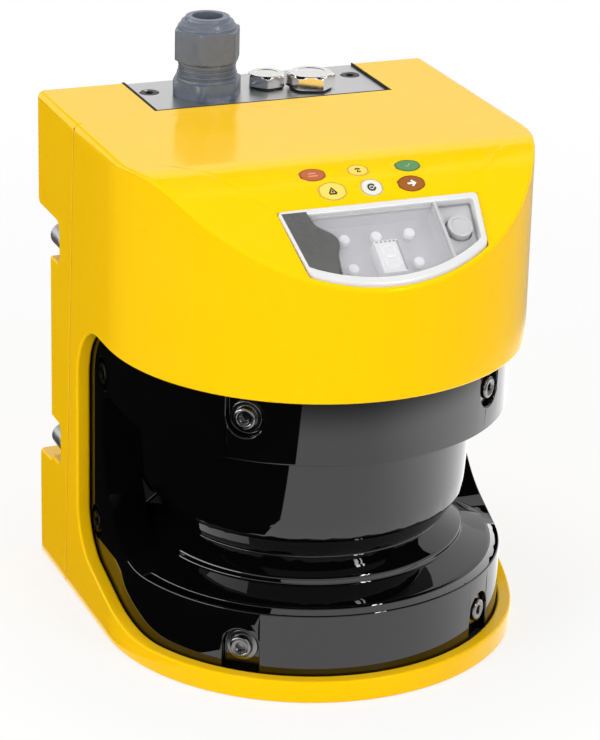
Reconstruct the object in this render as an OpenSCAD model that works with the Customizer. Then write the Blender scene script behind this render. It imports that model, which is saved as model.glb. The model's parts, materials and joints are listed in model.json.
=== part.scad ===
// Safety laser scanner: a yellow sensor head with a black optics cover round a turning mirror,
// an input/output module screwed behind it, and a system plug with a cable gland on top.
// The origin is the middle of the footprint, on the floor. Front is -Y, top is +Z.

/* [Envelope] */
// Overall width of the housing
body_w = 155; // [151:1:165]
// Overall depth of the housing
body_d = 160; // [158:1:172]
// Height of the housing without the cable gland
body_h = 185; // [181:1:200]

/* [Housing] */
// Height of the foot rim under the optics cover
rim_h = 8.5; // [7.5:0.5:10]
// Height of the hood's lower edge above the floor
hood_z = 113.3; // [109:0.5:117]
// Thickness of the yellow skin round the optics cover
skin_t = 5.2; // [4.5:0.1:6]
// Wall thickness of the castings
wall_t = 3.2; // [2.6:0.2:4]
// Radius of the long outer edges
edge_r = 3; // [1.5:0.5:4]
// Depth of the rear module at its foot
module_foot_d = 33; // [31:0.5:36]
// Depth of the rear module at its top
module_top_d = 45.5; // [44:0.5:47]
// Gap between the head and the rear module
seam_gap = 0.4; // [0.2:0.1:0.8]
// Running gap between pieces that fit inside one another
fit_gap = 0.3; // [0.2:0.05:0.5]

/* [Display panel] */
// Slope of the display panel
panel_angle = 35.5; // [32:0.5:37]
// Distance from the front to the line where the panel leaves the top
panel_start = 44.4; // [42:0.2:46]
// Blend radius between the top and the panel
panel_blend_r = 38; // [10:1:42]
// Sideways place of the display
display_x = 3.8; // [0:0.2:5]
// Half width of the display bezel at its top edge
display_half_w = 37; // [34:0.5:38]
// Distance of the display's top edge down the panel
display_top = 18.3; // [17:0.1:19.5]
// Width of the bezel frame
bezel_w = 2.6; // [2:0.2:3.2]

/* [Scan opening] */
// Distance of the opening's rear edge behind the mirror axis
opening_rear = 34.5; // [33:0.5:36]
// Radius of the opening's upper rear corner
opening_top_r = 24; // [14:1:28]
// Radius of the opening's lower rear corner
opening_low_r = 20; // [12:1:24]
// Rise of the opening's lower edge towards the rear, in degrees
opening_rise = 15; // [12:0.5:16]

/* [Optics cover] */
// Wall thickness of the optics cover
cover_t = 3; // [2.4:0.2:3.4]
// Height of the upper edge of the lower band
band_top = 31.5; // [30:0.5:33]
// Radius of the inner raised ring
ring_r = 57.7; // [57:0.1:59]
// Height of the inner raised ring
ring_z = 39; // [38:0.5:40]
// Radius of the window at its foot
window_foot_r = 53; // [52:0.5:54]
// Radius of the window at its top
window_top_r = 60; // [59:0.5:61]
// Height of the upper band below the hood
upper_band_h = 25; // [23:0.5:27]
// Radius of the sweep where the lower band climbs to the side flange
sweep_r = 40; // [30:1:44]
// Distance of the slot's rear wall behind the mirror axis
slot_rear = 22; // [21:0.5:23]
// Angle of the front cover screws from the front
screw_angle = 40; // [36:1:44]

/* [Mirror drive] */
// Radius of the turning mirror
mirror_r = 24; // [20:0.5:25]
// Height of the scan plane above the floor
scan_h = 63; // [61:0.5:65]
// Radius of the drive shaft
shaft_r = 3; // [2.5:0.25:3.5]
// Radial fit of the shaft and of the bearing seats
bearing_fit = 0.03; // [0.02:0.01:0.06]

/* [System plug] */
// Sideways place of the system plug
plug_x = 2; // [0:0.5:3]
// Width of the system plug plate
plug_w = 91; // [88:0.5:94]
// Depth of the system plug plate
plug_d = 38; // [36:0.5:39]
// Distance across the flats of the gland body
gland_flats = 24; // [23:0.5:25]
// Distance across the flats of the gland's cap nut
cap_flats = 22.5; // [22:0.5:23]
// Radius of the cable hole
cable_r = 5.6; // [4.5:0.1:6]
// Height of the cap nut
cap_h = 20; // [18:0.5:22]

/* [Mounting] */
// Sideways spacing of the rear M8 holes
mount_dx = 100; // [90:1:106]
// Upright spacing of the rear M8 holes
mount_dz = 141; // [138:1:144]
// Depth of the rear M8 holes
mount_depth = 9; // [8:0.5:10]

/* [Hidden] */
$fn = 96;

yellow = "#f7c600";
black = "#101012";
dark_grey = "#4b4e51";
light_grey = "#c9ccd2";
steel = "#b9bcc0";
board_green = "#2c6b45";

half_w = body_w / 2;
front_y = -body_d / 2;
rear_y = body_d / 2;
axis_y = front_y + half_w;
far = 400;
eps = 0.01;
slide_fit = 0.06;

// Seam between head and module: a plane that leans back towards the foot.
seam_foot_y = rear_y - module_foot_d;
seam_top_y = rear_y - module_top_d;
function seam_y(z) = seam_foot_y + (seam_top_y - seam_foot_y) * z / body_h;

// Rear recess of the module.
recess_depth = 16;
recess_low_z = 44;
recess_high_z = 130;
recess_slope_z = 145;
recess_y = rear_y - recess_depth;
corner_r = 2;

// Screws that hold the module, as (x, z), in pockets at the ends of the recess.
pocket_in_y = rear_y - 27;
pocket_half_h = 8;
module_shank_r = 2.5;
module_screw_x = half_w - 4.6;
module_screw_sites = [for (z = [recess_low_z + 10, recess_high_z + 4]) for (side = [-1, 1])
    [side * module_screw_x, z]];

// Threaded inserts of the rear mounting holes.
insert_r = 6;
insert_hole_r = 3.4;
mount_mid_z = body_h / 2;

// Scan opening and optics cover.
cover_r = half_w - skin_t - fit_gap;
pocket_r = half_w - skin_t;
gasket_t = 0.8;
pocket_z = rim_h - 3.5;
cover_z = pocket_z + gasket_t;
cover_top = hood_z + 4.7;
deck_z = cover_top + gasket_t;
deck_t = 3.2;
deck_top = deck_z + deck_t;
opening_rear_y = axis_y + opening_rear;
cover_rear_y = opening_rear_y + 2;
pocket_rear_y = cover_rear_y + gasket_t;
opening_bend_y = axis_y - 22.5;
slot_top = hood_z - upper_band_h;
slot_rear_y = axis_y + slot_rear;
ring_drop = 2.4;
band_edge_r = cover_r - 0.4;
neck_r = window_foot_r - 2.5;
neck_z = ring_z + 5.5;
window_foot_z = ring_z + 8;
window_mid_z = window_foot_z + 8;
window_mid_r = window_top_r - 2.3;
slot_corner_r = 8;

// Cover screws: [origin, direction angle, closed or open pocket side].
screw_pocket_r = 6.8;
screw_pocket_d = 3.2;
screw_floor_r = cover_r - screw_pocket_d;
screw_seat_r = screw_floor_r - 3.2;
screw_hole_r = 2.05;
side_pocket_r = 6.2;
screw_washer_r = side_pocket_r - 0.4;
boss_wall = 2.2;
upper_screw_z = hood_z - 9.3;
lower_screw_z = rim_h + 8.5;
side_screw_low = [slot_rear_y + 6.5, rim_h + 25];
side_screw_high = [slot_rear_y - 0.5, slot_top + 6.7];
lug_t = 8;
lug_w = 11;
front_screws = [
    for (side = [-1, 1]) [[0, axis_y, upper_screw_z], 270 + side * screw_angle, 1],
    for (side = [-1, 1]) [[0, axis_y, lower_screw_z], 270 + side * screw_angle, -1]];
side_screws = [
    for (turn = [0, 180]) [[0, side_screw_low[0], side_screw_low[1]], turn, -1],
    for (turn = [0, 180]) [[0, side_screw_high[0], side_screw_high[1]], turn, 1]];

// Display panel and what stands in it.
panel_y = front_y + panel_start;
bezel_proud = 0.8;
bezel_t = 2.8;
bezel_seat = bezel_proud - bezel_t;
bezel_arc_r = half_w - 1.8;
tray_depth = 9;
tray_t = 1.2;
window_t = 1.5;
divider_x = 19.6;
divider_t = 1.2;
display_low = (panel_start - 1.8) / cos(panel_angle);
config_at = [display_x + 26.4, 31.5];
config_r = 3.4;
config_tip_z = -1;
config_cap_r = 4.5;
config_cap_top_t = 1.6;
config_cap_len = 6.5;
symbol_t = 0.55;
symbol_sunk = 0.4;
symbol_gap = 0.1;
blend_len = panel_blend_r * tan(panel_angle / 2);

// Status symbols as [x, distance down the panel, size]: red, green, two yellow, white, orange.
symbols = [[display_x - 19, 3.1, [9.6, 6.6]], [display_x + 16.4, 3.1, [9.4, 6.2]],
    [display_x - 2.2, 3.1, [7.6, 6]], [display_x - 14.5, 11.6, [10.2, 8]],
    [display_x, 11.6, [8, 7.4]], [display_x + 14.8, 11.6, [10, 7]]];

// System plug.
plate_t = 3;
plug_seal_t = 0.8;
plate_top = body_h - 0.8;
ledge_z = plate_top - plate_t - plug_seal_t;
ledge_t = 3;
plug_front_y = rear_y - plug_d;
plug_hole = [66, 24];
plug_screw_dx = 40;
plug_screw_y = rear_y - 13;
gland_at = [plug_x - 20, rear_y - 20];
gland_collar_h = 3.4;
gland_hex_h = 6;
gland_thread_r = 9.6;
gland_nut_r = 10;
cap_z = plate_top + gland_hex_h + gland_collar_h;
cap_skirt_h = 3;
cap_skirt_r = cap_flats / 2 - 0.55;
small_plug_at = [plug_x + 4.5, rear_y - 17.5];
large_plug_at = [plug_x + 19.5, rear_y - 24];
small_plug_flats = 13;
large_plug_flats = 16;
small_thread_r = 5;
large_thread_r = 6.5;
plug_ring_t = 0.8;

// Moulded block under the plug plate, on two legs, and the module's socket below it.
plug_block_x = [plug_x - 8.5, plug_x + 32.5];
plug_block_y = [rear_y - 28, rear_y - 14];
plug_leg_w = [6.5, 4.5];
socket_top_z = ledge_z - 22;

// Mirror drive.
floor_z = pocket_z;
bracket_t = 3;
hub_r = 9;
bearing_r = 6;
bearing_w = 4;
bearing_low_z = floor_z + 5;
hub_top_z = floor_z + 28;
shoulder_z = floor_z + 9;
stator_r = 21;
magnet_r = 22;
cup_r = 27;
cup_t = 2;
cup_low_z = floor_z + 10;
cup_top_z = hub_top_z + 3;
disc_t = 0.8;
disc_r = 33;
carrier_z = cup_top_z + disc_t;
carrier_r = mirror_r + 1;
mirror_t = 2;

// Optics above the mirror.
tube_r = 36;
tube_t = 3;
tube_low_z = slot_top + 8;
flange_t = 2.5;
lens_t = 8;
lens_z = tube_low_z + 4;
sender_r = 7;
tube_flange_w = 10;
bridge_z = deck_top + 10;
laser_r = 9;
laser_h = 17;

// Boards.
board_t = 1.6;
cavity_rear_y = seam_y(body_h) - wall_t - 0.5;
main_board_y = cavity_rear_y - 8;
io_board_y = recess_y - wall_t - 9;
post_r = 2.5;
post_gap = 1.2;
post_head_h = 1.6;
connector_z = deck_top + 8;
connector_h = 10;
detector_z = bridge_z + laser_h + 7;
detector_edge = 3.5;
detector_post_y = 17.5;
detector_post_reach = tube_r + tube_flange_w + post_gap + post_r;
detector_post_x = sqrt(detector_post_reach * detector_post_reach - detector_post_y * detector_post_y);
main_board_w = body_w - 35;
main_board_edge = 3;
io_board_w = body_w - 43;
io_board_low_z = 25;
io_board_high_z = connector_z + connector_h / 2 + 2;
head_passage_h = connector_h + 4;
memory_board_low_z = io_board_high_z + (ledge_z - io_board_high_z) / 4;

// Boards that watch the window, round the mirror.
monitor_r = screw_seat_r - lug_t - 1;
upper_monitor_in_r = tube_r + 1.5;
lower_monitor_in_r = disc_r + 6.5;

function unit(v) = v / norm(v);
function corner_angle(p, q, s) = acos(unit(p - q) * unit(s - q));
function neighbour(points, i, step) = points[(i + step + len(points)) % len(points)];
function bend(points, i) = corner_angle(neighbour(points, i, -1), points[i], neighbour(points, i, 1));
function cut_point(points, radii, i, step) =
    points[i] + unit(neighbour(points, i, step) - points[i]) * radii[i] / tan(bend(points, i) / 2);
function round_centre(points, radii, i) =
    points[i] + unit(unit(neighbour(points, i, -1) - points[i]) + unit(neighbour(points, i, 1) - points[i]))
        * radii[i] / sin(bend(points, i) / 2);
function hex_r(flats) = flats / sqrt(3);

// A convex outline whose corners are true arcs.
module rounded_outline(points, radii) {
    last = len(points) - 1;
    polygon([for (i = [0:last]) each (radii[i] > 0
        ? [cut_point(points, radii, i, -1), cut_point(points, radii, i, 1)]
        : [points[i]])]);
    for (i = [0:last]) {
        if (radii[i] > 0) {
            intersection() {
                polygon([cut_point(points, radii, i, -1), points[i], cut_point(points, radii, i, 1)]);
                translate(round_centre(points, radii, i)) circle(radii[i]);
            }
        }
    }
}

// A centred rectangle with rounded corners.
module rounded_rect(size, r) {
    x = size[0] / 2;
    y = size[1] / 2;
    rounded_outline([[-x, -y], [x, -y], [x, y], [-x, y]], [r, r, r, r]);
}

// Extrudes a (y, z) outline along X, centred.
module along_x(w) {
    rotate([90, 0, 90]) linear_extrude(w, center = true) children();
}

// Extrudes an (x, z) outline along Y from y_start to y_end.
module along_y(y_start, y_end) {
    translate([0, y_end, 0]) rotate([90, 0, 0]) linear_extrude(y_end - y_start) children();
}

// Plan outline: a half circle at the front that runs straight back to y_end.
module u_plan(r, y_end) {
    translate([0, axis_y]) intersection() {
        circle(r);
        translate([-r, -r]) square([2 * r, r]);
    }
    translate([-r, axis_y]) square([2 * r, y_end - axis_y]);
}

module u_block(r, y_end, z_low, z_high) {
    translate([0, 0, z_low]) linear_extrude(z_high - z_low) u_plan(r, y_end);
}

// Sweeps an (r, z) profile round the front half circle and straight back to y_end.
module u_sweep(y_end) {
    translate([0, axis_y, 0]) rotate([0, 0, 180]) rotate_extrude(angle = 180) children();
    along_y(axis_y, y_end) {
        children();
        mirror([1, 0]) children();
    }
}

module block(low, high) {
    translate(low) cube(high - low);
}

module disc(r, z_low, z_high) {
    translate([0, axis_y, z_low]) cylinder(r = r, h = z_high - z_low);
}

module ring(r_out, r_in, z_low, z_high) {
    difference() {
        disc(r_out, z_low, z_high);
        disc(r_in, z_low - 1, z_high + 1);
    }
}

// Side outline of head or module in front of or behind the seam plane.
module before_seam(shift) {
    polygon([[-far, -1], [seam_y(-1) + shift, -1], [seam_y(body_h + 1) + shift, body_h + 1],
        [-far, body_h + 1]]);
}

// Side outline of the hood's top and panel, moved in by inset.
module top_outline(inset, z_low) {
    shift = inset * tan(panel_angle / 2);
    z_front = body_h - inset - (far + panel_y) * tan(panel_angle) - shift * tan(panel_angle);
    rounded_outline([[-far, z_low - far], [far, z_low - far], [far, body_h - inset],
        [panel_y + shift, body_h - inset], [-far, z_front]], [0, 0, 0, panel_blend_r - inset, 0]);
}

// Outline of the housing seen from the front, with rounded top edges.
module front_outline(w, h, r) {
    rounded_outline([[-w / 2, 0], [w / 2, 0], [w / 2, h], [-w / 2, h]], [0, 0, r, r]);
}

// The scan opening in the side view: a flat front, a rising rear and a rounded rear end.
module opening_outline() {
    rise_z = rim_h + (opening_rear_y - opening_bend_y) * tan(opening_rise);
    rounded_outline([[-far, rim_h], [opening_bend_y, rim_h], [opening_rear_y, rise_z],
        [opening_rear_y, hood_z], [-far, hood_z]], [0, 60, opening_low_r, opening_top_r, 0]);
}

// Places children at a cover screw, with +X pointing outwards.
module at_screw(site) {
    translate(site[0]) rotate([0, 0, site[1]]) children();
}

// Places children on the display panel: +X right, -Y down the slope, +Z out of the panel.
module on_panel() {
    translate([0, panel_y, body_h]) rotate([panel_angle, 0, 0]) children();
}

// Places children at the configuration connector, at height z out of the panel.
module at_config(z) {
    on_panel() translate([config_at[0], -config_at[1], z]) children();
}

// D-shaped outline of the display on the panel, cut by an upright arc at its lower edge.
module display_shape(inset, low, high) {
    x_top = display_half_w - inset;
    x_low = display_half_w - 3.5 - inset;
    y_top = -display_top - inset;
    intersection() {
        on_panel() translate([display_x, 0, low]) linear_extrude(high - low)
            polygon([[-x_top, y_top], [x_top, y_top], [x_low, y_top - 24], [x_low - 3, -display_low - 6],
                [3 - x_low, -display_low - 6], [-x_low, y_top - 24]]);
        disc(bezel_arc_r - inset, body_h / 3, body_h);
    }
}

// ---- housings ----

module head_lugs() {
    for (site = front_screws) {
        z_low = site[2] > 0 ? site[0][2] - lug_w / 2 : pocket_z;
        z_high = site[2] > 0 ? deck_z : site[0][2] + lug_w / 2;
        translate([0, axis_y, 0]) rotate([0, 0, site[1]])
            block([screw_seat_r - lug_t, -lug_w / 2, z_low - eps], [screw_seat_r, lug_w / 2, z_high + eps]);
    }
    for (side = [-1, 1]) {
        low_y = slot_rear_y + cover_t + fit_gap;
        x_mid = side * (screw_seat_r - lug_t / 2);
        translate([x_mid, 0, 0])
            block([-lug_t / 2, low_y, pocket_z - eps],
                [lug_t / 2, pocket_rear_y + eps, side_screw_low[1] + lug_w / 2]);
        translate([x_mid, side_screw_high[0], 0])
            block([-lug_t / 2, -lug_w / 2, side_screw_high[1] - 3], [lug_t / 2, lug_w / 2, deck_z + eps]);
    }
}

module head_body() {
    difference() {
        intersection() {
            linear_extrude(body_h) u_plan(half_w, rear_y);
            along_x(body_w + 2) intersection() {
                top_outline(0, 0);
                before_seam(0);
            }
            along_y(front_y - 1, rear_y) front_outline(body_w, body_h, edge_r);
        }
        // seat of the optics cover
        u_block(pocket_r, pocket_rear_y, pocket_z, deck_z);
        // scan opening through the skin
        along_x(body_w + 4) opening_outline();
        // hood cavity
        intersection() {
            u_block(half_w - wall_t, cavity_rear_y, deck_top, body_h);
            along_x(body_w) top_outline(wall_t, 0);
        }
        // light weight pocket in the rear wall, towards the module
        along_x(body_w - 30) polygon([[pocket_rear_y + wall_t, rim_h], [rear_y, rim_h],
            [rear_y, deck_z - 6], [pocket_rear_y + wall_t, deck_z - 6]]);
    }
    head_lugs();
}

module sensor_head_housing() {
    color(yellow) difference() {
        head_body();
        // lens tube hole in the deck
        disc(tube_r + fit_gap, deck_z - 1, deck_top + 1);
        // display seat and the way through for its tray
        display_shape(-fit_gap, bezel_seat, 6);
        display_shape(bezel_w - 0.6, -tray_depth - 6, 0);
        // seats of the status symbols
        for (label = symbols) {
            panel_label(label[0], label[1], label[2], symbol_gap);
        }
        // tapped holes of the cover screws
        for (site = concat(front_screws, side_screws)) {
            at_screw(site) translate([screw_seat_r - 7, 0, 0]) rotate([0, 90, 0])
                cylinder(r = screw_hole_r, h = 12);
        }
        // tapped holes of the module screws
        for (site = module_screw_sites) {
            translate([site[0], seam_y(site[1]) - 6.5, site[1]]) rotate([-90, 0, 0])
                cylinder(r = module_shank_r + 0.05, h = 20);
        }
        // board connector passage
        block([-22, cavity_rear_y - 1, connector_z - head_passage_h / 2],
            [22, rear_y, connector_z + head_passage_h / 2]);
    }
}

module module_rear_outline(inset) {
    rear = rear_y - inset;
    recess = recess_y - inset;
    difference() {
        rounded_outline([[-far, inset], [rear, inset], [rear, body_h - inset], [-far, body_h - inset]],
            [0, corner_r, corner_r, 0]);
        polygon([[recess, recess_low_z - inset], [rear_y + 5, recess_low_z - 2 - inset],
            [rear_y + 5, recess_slope_z + 5 + inset], [rear, recess_slope_z + inset],
            [recess, recess_high_z + inset]]);
    }
}

module io_module_housing() {
    color(yellow) difference() {
        intersection() {
            along_x(body_w) difference() {
                module_rear_outline(0);
                before_seam(seam_gap);
            }
            along_y(0, rear_y + 1) front_outline(body_w, body_h, edge_r);
            translate([0, 0, -1]) linear_extrude(body_h + 2)
                rounded_outline([[-half_w, 0], [half_w, 0], [half_w, rear_y], [-half_w, rear_y]],
                    [0, 0, edge_r, edge_r]);
        }
        // inner space, open towards the seam
        along_x(body_w - 28) module_cavity_outline();
        // seat of the system plug, open to the rear
        block([plug_x - plug_w / 2 - fit_gap, plug_front_y - fit_gap, ledge_z],
            [plug_x + plug_w / 2 + fit_gap, rear_y + 1, body_h + 1]);
        block([plug_x - plug_hole[0] / 2, rear_y - 8 - plug_hole[1], ledge_z - ledge_t - 1],
            [plug_x + plug_hole[0] / 2, rear_y - 8, ledge_z + 1]);
        for (side = [-1, 1]) {
            translate([plug_x + side * plug_screw_dx, plug_screw_y, ledge_z - 9]) cylinder(r = 1.55, h = 12);
        }
        // screw pockets at the ends of the recess
        for (site = module_screw_sites) {
            side = sign(site[0]);
            translate([side * (half_w - 5), 0, site[1]]) along_x(10.02)
                rounded_outline([[pocket_in_y, -pocket_half_h], [rear_y + 5, -pocket_half_h],
                    [rear_y + 5, pocket_half_h], [pocket_in_y, pocket_half_h]], [3, 0, 0, 3]);
            translate([site[0], pocket_in_y - 20, site[1]]) rotate([-90, 0, 0])
                cylinder(r = module_shank_r + 0.25, h = 24);
        }
        // seats of the threaded inserts
        for (x = [-1, 1]) for (z = [-1, 1]) {
            translate([x * mount_dx / 2, rear_y - mount_depth - 1, mount_mid_z + z * mount_dz / 2])
                rotate([-90, 0, 0]) cylinder(r = insert_r + bearing_fit, h = mount_depth + 2);
        }
    }
}

module module_cavity_outline() {
    difference() {
        module_rear_outline(wall_t);
        polygon([[-far, body_h], [-far, ledge_z - ledge_t], [far, ledge_z - ledge_t], [far, body_h]]);
        translate([rear_y - mount_depth - 4, 0]) square([far, recess_low_z]);
        translate([rear_y - mount_depth - 4, recess_high_z]) square([far, body_h - recess_high_z - 14]);
    }
}

module seam_loop(inset, y_low, y_high) {
    intersection() {
        along_y(y_low, y_high) front_outline_at(inset);
        along_x(body_w) difference() {
            before_seam(seam_gap);
            before_seam(0);
        }
    }
}

module front_outline_at(inset) {
    translate([0, inset]) front_outline(body_w - 2 * inset, body_h - 2 * inset, edge_r);
}

module seam_seal() {
    color(black) difference() {
        seam_loop(1.2, 0, rear_y);
        along_y(-1, rear_y + 1) front_outline_at(3);
        for (site = module_screw_sites) {
            translate([site[0], 0, site[1]]) rotate([-90, 0, 0])
                cylinder(r = module_shank_r + 0.2, h = rear_y);
        }
    }
}

module module_screws() {
    color(steel) for (site = module_screw_sites) {
        translate([site[0], 0, site[1]]) rotate([-90, 0, 0]) difference() {
            union() {
                tip = seam_y(site[1]) - 5.5;
                translate([0, 0, tip]) cylinder(r = module_shank_r, h = pocket_in_y - tip + 1);
                translate([0, 0, pocket_in_y]) cylinder(r = 4.6, h = 1.2);
                translate([0, 0, pocket_in_y]) cylinder(r = 3.6, h = 6);
                translate([0, 0, pocket_in_y + 5]) cylinder(r = 4.5, h = 6);
            }
            translate([0, 0, pocket_in_y + 8]) cylinder(r = hex_r(4), h = 5, $fn = 6);
        }
    }
}

module mounting_inserts() {
    color(steel) for (x = [-1, 1]) for (z = [-1, 1]) {
        translate([x * mount_dx / 2, rear_y - mount_depth - 1, mount_mid_z + z * mount_dz / 2])
            rotate([-90, 0, 0]) difference() {
                cylinder(r = insert_r, h = mount_depth + 1);
                translate([0, 0, 1]) cylinder(r = insert_hole_r, h = mount_depth + 1);
            }
    }
}

// ---- optics cover ----

// Cross-section of the slot round the window, as (radius, height).
module slot_profile() {
    polygon([[cover_r + 8, slot_top], [window_top_r, slot_top], [window_mid_r, window_mid_z],
        [window_foot_r, window_foot_z], [neck_r, neck_z], [ring_r, ring_z], [ring_r, ring_z - ring_drop],
        [band_edge_r, band_top], [cover_r + 8, band_top]]);
}

// Cross-section of the hollow behind the cover's wall.
module cover_inner_profile() {
    t = cover_t;
    polygon([[0, cover_z - 1], [cover_r - t, cover_z - 1], [band_edge_r - t, band_top - t],
        [ring_r - t, ring_z - ring_drop - t], [ring_r - t, ring_z - t], [neck_r - t, neck_z - t],
        [window_foot_r - t, window_foot_z], [window_mid_r - t, window_mid_z], [window_top_r - t, slot_top],
        [window_top_r - t, slot_top + t], [cover_r - t, slot_top + t], [cover_r - t, cover_top + 1],
        [0, cover_top + 1]]);
}

// Side outline of a corner that a concave sweep of radius r fills, grown by shrink inside.
module sweep_corner(z, r, up, shrink) {
    difference() {
        polygon([[slot_rear_y - r, z - up * 3], [slot_rear_y + 1, z - up * 3], [slot_rear_y + 1, z + up * r],
            [slot_rear_y, z + up * r], [slot_rear_y - r, z]]);
        translate([slot_rear_y - r, z + up * r]) circle(r + shrink);
    }
}

module side_web(r_out, r_in, shrink) {
    intersection() {
        along_x(body_w) {
            sweep_corner(band_top, sweep_r, 1, shrink);
            if (shrink == 0) {
                sweep_corner(slot_top, slot_corner_r, -1, 0);
            }
        }
        difference() {
            u_block(r_out, slot_rear_y + 2, band_top - 5, slot_top + 5);
            u_block(r_in, slot_rear_y + 3, band_top - 6, slot_top + 6);
        }
    }
}

// Outline of a cover screw's pocket, seen along the screw, grown by grow.
module screw_pocket(site, grow) {
    if (site[0][0] == 0 && site[0][1] == axis_y) {
        r = screw_pocket_r + grow;
        rotate([0, 90, 0]) cylinder(r = r, h = 9);
        translate([0, -r, site[2] > 0 ? 0 : -30]) cube([9, 2 * r, 30]);
    } else {
        rotate([0, 90, 0]) cylinder(r = side_pocket_r + grow, h = 9);
    }
}

module cover_bosses() {
    intersection() {
        for (site = concat(front_screws, side_screws)) {
            at_screw(site) translate([screw_seat_r, 0, 0]) screw_pocket(site, boss_wall);
        }
        u_block(cover_r - 1, cover_rear_y, cover_z, cover_top);
    }
}

module cover_shell() {
    difference() {
        u_block(cover_r, cover_rear_y, cover_z, cover_top);
        difference() {
            u_sweep(slot_rear_y) slot_profile();
            side_web(cover_r + 6, ring_r, 0);
        }
        u_sweep(cover_rear_y + 1) cover_inner_profile();
        side_web(cover_r - cover_t, ring_r + cover_t, cover_t);
        block([-cover_r + cover_t, slot_rear_y + cover_t, cover_z - 1],
            [cover_r - cover_t, cover_rear_y + 1, cover_top + 1]);
    }
}

module optics_cover() {
    color(black) difference() {
        union() {
            cover_shell();
            cover_bosses();
        }
        for (site = concat(front_screws, side_screws)) {
            at_screw(site) translate([screw_floor_r, 0, 0]) screw_pocket(site, 0);
        }
        for (site = concat(front_screws, side_screws)) {
            at_screw(site) translate([screw_seat_r - 1, 0, 0]) rotate([0, 90, 0])
                cylinder(r = screw_hole_r, h = 9);
        }
    }
}

module optics_cover_seal() {
    color("#26262a") difference() {
        u_block(cover_r - 0.5, pocket_rear_y, pocket_z, deck_z);
        u_block(cover_r - cover_t - 1, pocket_rear_y + 5, pocket_z - 1, deck_z + 1);
        u_block(half_w, cover_rear_y, cover_z, cover_top);
    }
}

module optics_cover_screws() {
    color(dark_grey) for (site = concat(front_screws, side_screws)) {
        at_screw(site) rotate([0, 90, 0]) difference() {
            union() {
                translate([0, 0, screw_seat_r - 6]) cylinder(r = 2, h = screw_floor_r - screw_seat_r + 7);
                translate([0, 0, screw_floor_r]) cylinder(r = screw_washer_r, h = 1.2);
                translate([0, 0, screw_floor_r]) cylinder(r = 4.1, h = 3.4);
            }
            translate([0, 0, screw_floor_r + 1.2]) cylinder(r = hex_r(4), h = 4, $fn = 6);
        }
    }
}

// ---- display ----

module display_bezel() {
    color("white") difference() {
        display_shape(0, bezel_seat, bezel_proud);
        difference() {
            display_shape(bezel_w, bezel_seat - 1, bezel_proud + 1);
            on_panel() divider();
        }
    }
}

module divider() {
    translate([display_x + divider_x, -display_top - 50, bezel_seat])
        cube([divider_t, 60, bezel_proud - bezel_seat]);
}

// The left part of the display field, which the side insert covers.
module insert_field(shift) {
    on_panel() translate([0, 0, bezel_seat - 2]) linear_extrude(6)
        polygon([[-60, -10], [-22.8 + shift, -10], [-20.9 + shift, -27], [-17.3 + shift, -27.8],
            [-14.7 + shift, -31.9], [-17 + shift, -37.8], [-17.2 + shift, -42.3], [-18.2 + shift, -60],
            [-60, -60]]);
}

module display_side_insert() {
    color(dark_grey) intersection() {
        display_shape(bezel_w + 0.05, bezel_seat, bezel_proud - 0.2);
        insert_field(0);
    }
}

module display_window() {
    color("#eef2f8", 0.35) difference() {
        display_shape(bezel_w + 0.05, bezel_seat, bezel_seat + window_t);
        insert_field(0.1);
        on_panel() translate([display_x + divider_x - 0.05, -100, -5]) cube([60, 100, 10]);
    }
}

module display_tray() {
    color(light_grey) difference() {
        display_shape(bezel_w - 0.3, -tray_depth, bezel_seat);
        difference() {
            display_shape(bezel_w - 0.3 + tray_t, -tray_depth + tray_t, bezel_seat + 1);
            on_panel() translate([display_x + divider_x, -100, -20]) cube([divider_t, 100, 30]);
        }
        at_config(-tray_depth - 1) cylinder(r = config_r + 0.05, h = 5);
    }
}

module display_board() {
    color(board_green) difference() {
        on_panel() translate([display_x + 1, -display_top - 16, -tray_depth - board_t])
            linear_extrude(board_t) rounded_rect([59, 20], 2);
        at_config(-tray_depth - 5) cylinder(r = config_r + 0.05, h = 8);
    }
}

module seven_segment_display() {
    color("white") on_panel() translate([2.9, -38.6, -tray_depth + tray_t])
        linear_extrude(tray_depth + bezel_seat - tray_t - 0.6) rounded_rect([9, 13.5], 0.6);
}

module status_leds() {
    color("white") on_panel() {
        for (x = [-10.7, 1, 13.3]) {
            translate([x, -29, -tray_depth + tray_t]) cylinder(r = 1.9, h = 4);
        }
        for (x = [-11.2, 13]) {
            translate([x, -41.2, -tray_depth + tray_t]) cylinder(r = 1.9, h = 4);
        }
    }
}

module config_connector() {
    color(steel) at_config(-tray_depth - board_t - 2) difference() {
        cylinder(r = config_r, h = tray_depth + board_t + 1);
        translate([0, 0, board_t + 7]) cylinder(r = config_r - 1, h = tray_depth);
    }
}

module config_cap() {
    color(dark_grey) at_config(config_tip_z - config_cap_len) difference() {
        translate([0, 0, config_cap_top_t]) cylinder(r = config_cap_r, h = config_cap_len);
        cylinder(r = config_r + slide_fit, h = config_cap_len);
    }
}

// Oval outline between two equal arcs, with short upright ends.
module oval(size) {
    arc_rise = size[1] / 3;
    arc_r = (size[0] * size[0] / 4 + arc_rise * arc_rise) / (2 * arc_rise);
    intersection() {
        square(size, center = true);
        translate([0, arc_r - size[1] / 2]) circle(arc_r);
        translate([0, size[1] / 2 - arc_r]) circle(arc_r);
    }
}

// A flat label on the panel, or on the blend above it, sunk into its seat.
module panel_label(x, s, size, grow) {
    over = max(0, blend_len - s) / panel_blend_r * 180 / PI;
    on_panel() translate([x, -max(s, blend_len), -panel_blend_r]) rotate([-over, 0, 0])
        translate([0, 0, panel_blend_r - symbol_sunk]) linear_extrude(symbol_t + grow)
            oval(size + [grow, grow]);
}

module status_symbol_red() {
    color("#c8402c") panel_label(symbols[0][0], symbols[0][1], symbols[0][2], 0);
}

module status_symbol_green() {
    color("#4d8a3a") panel_label(symbols[1][0], symbols[1][1], symbols[1][2], 0);
}

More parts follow.
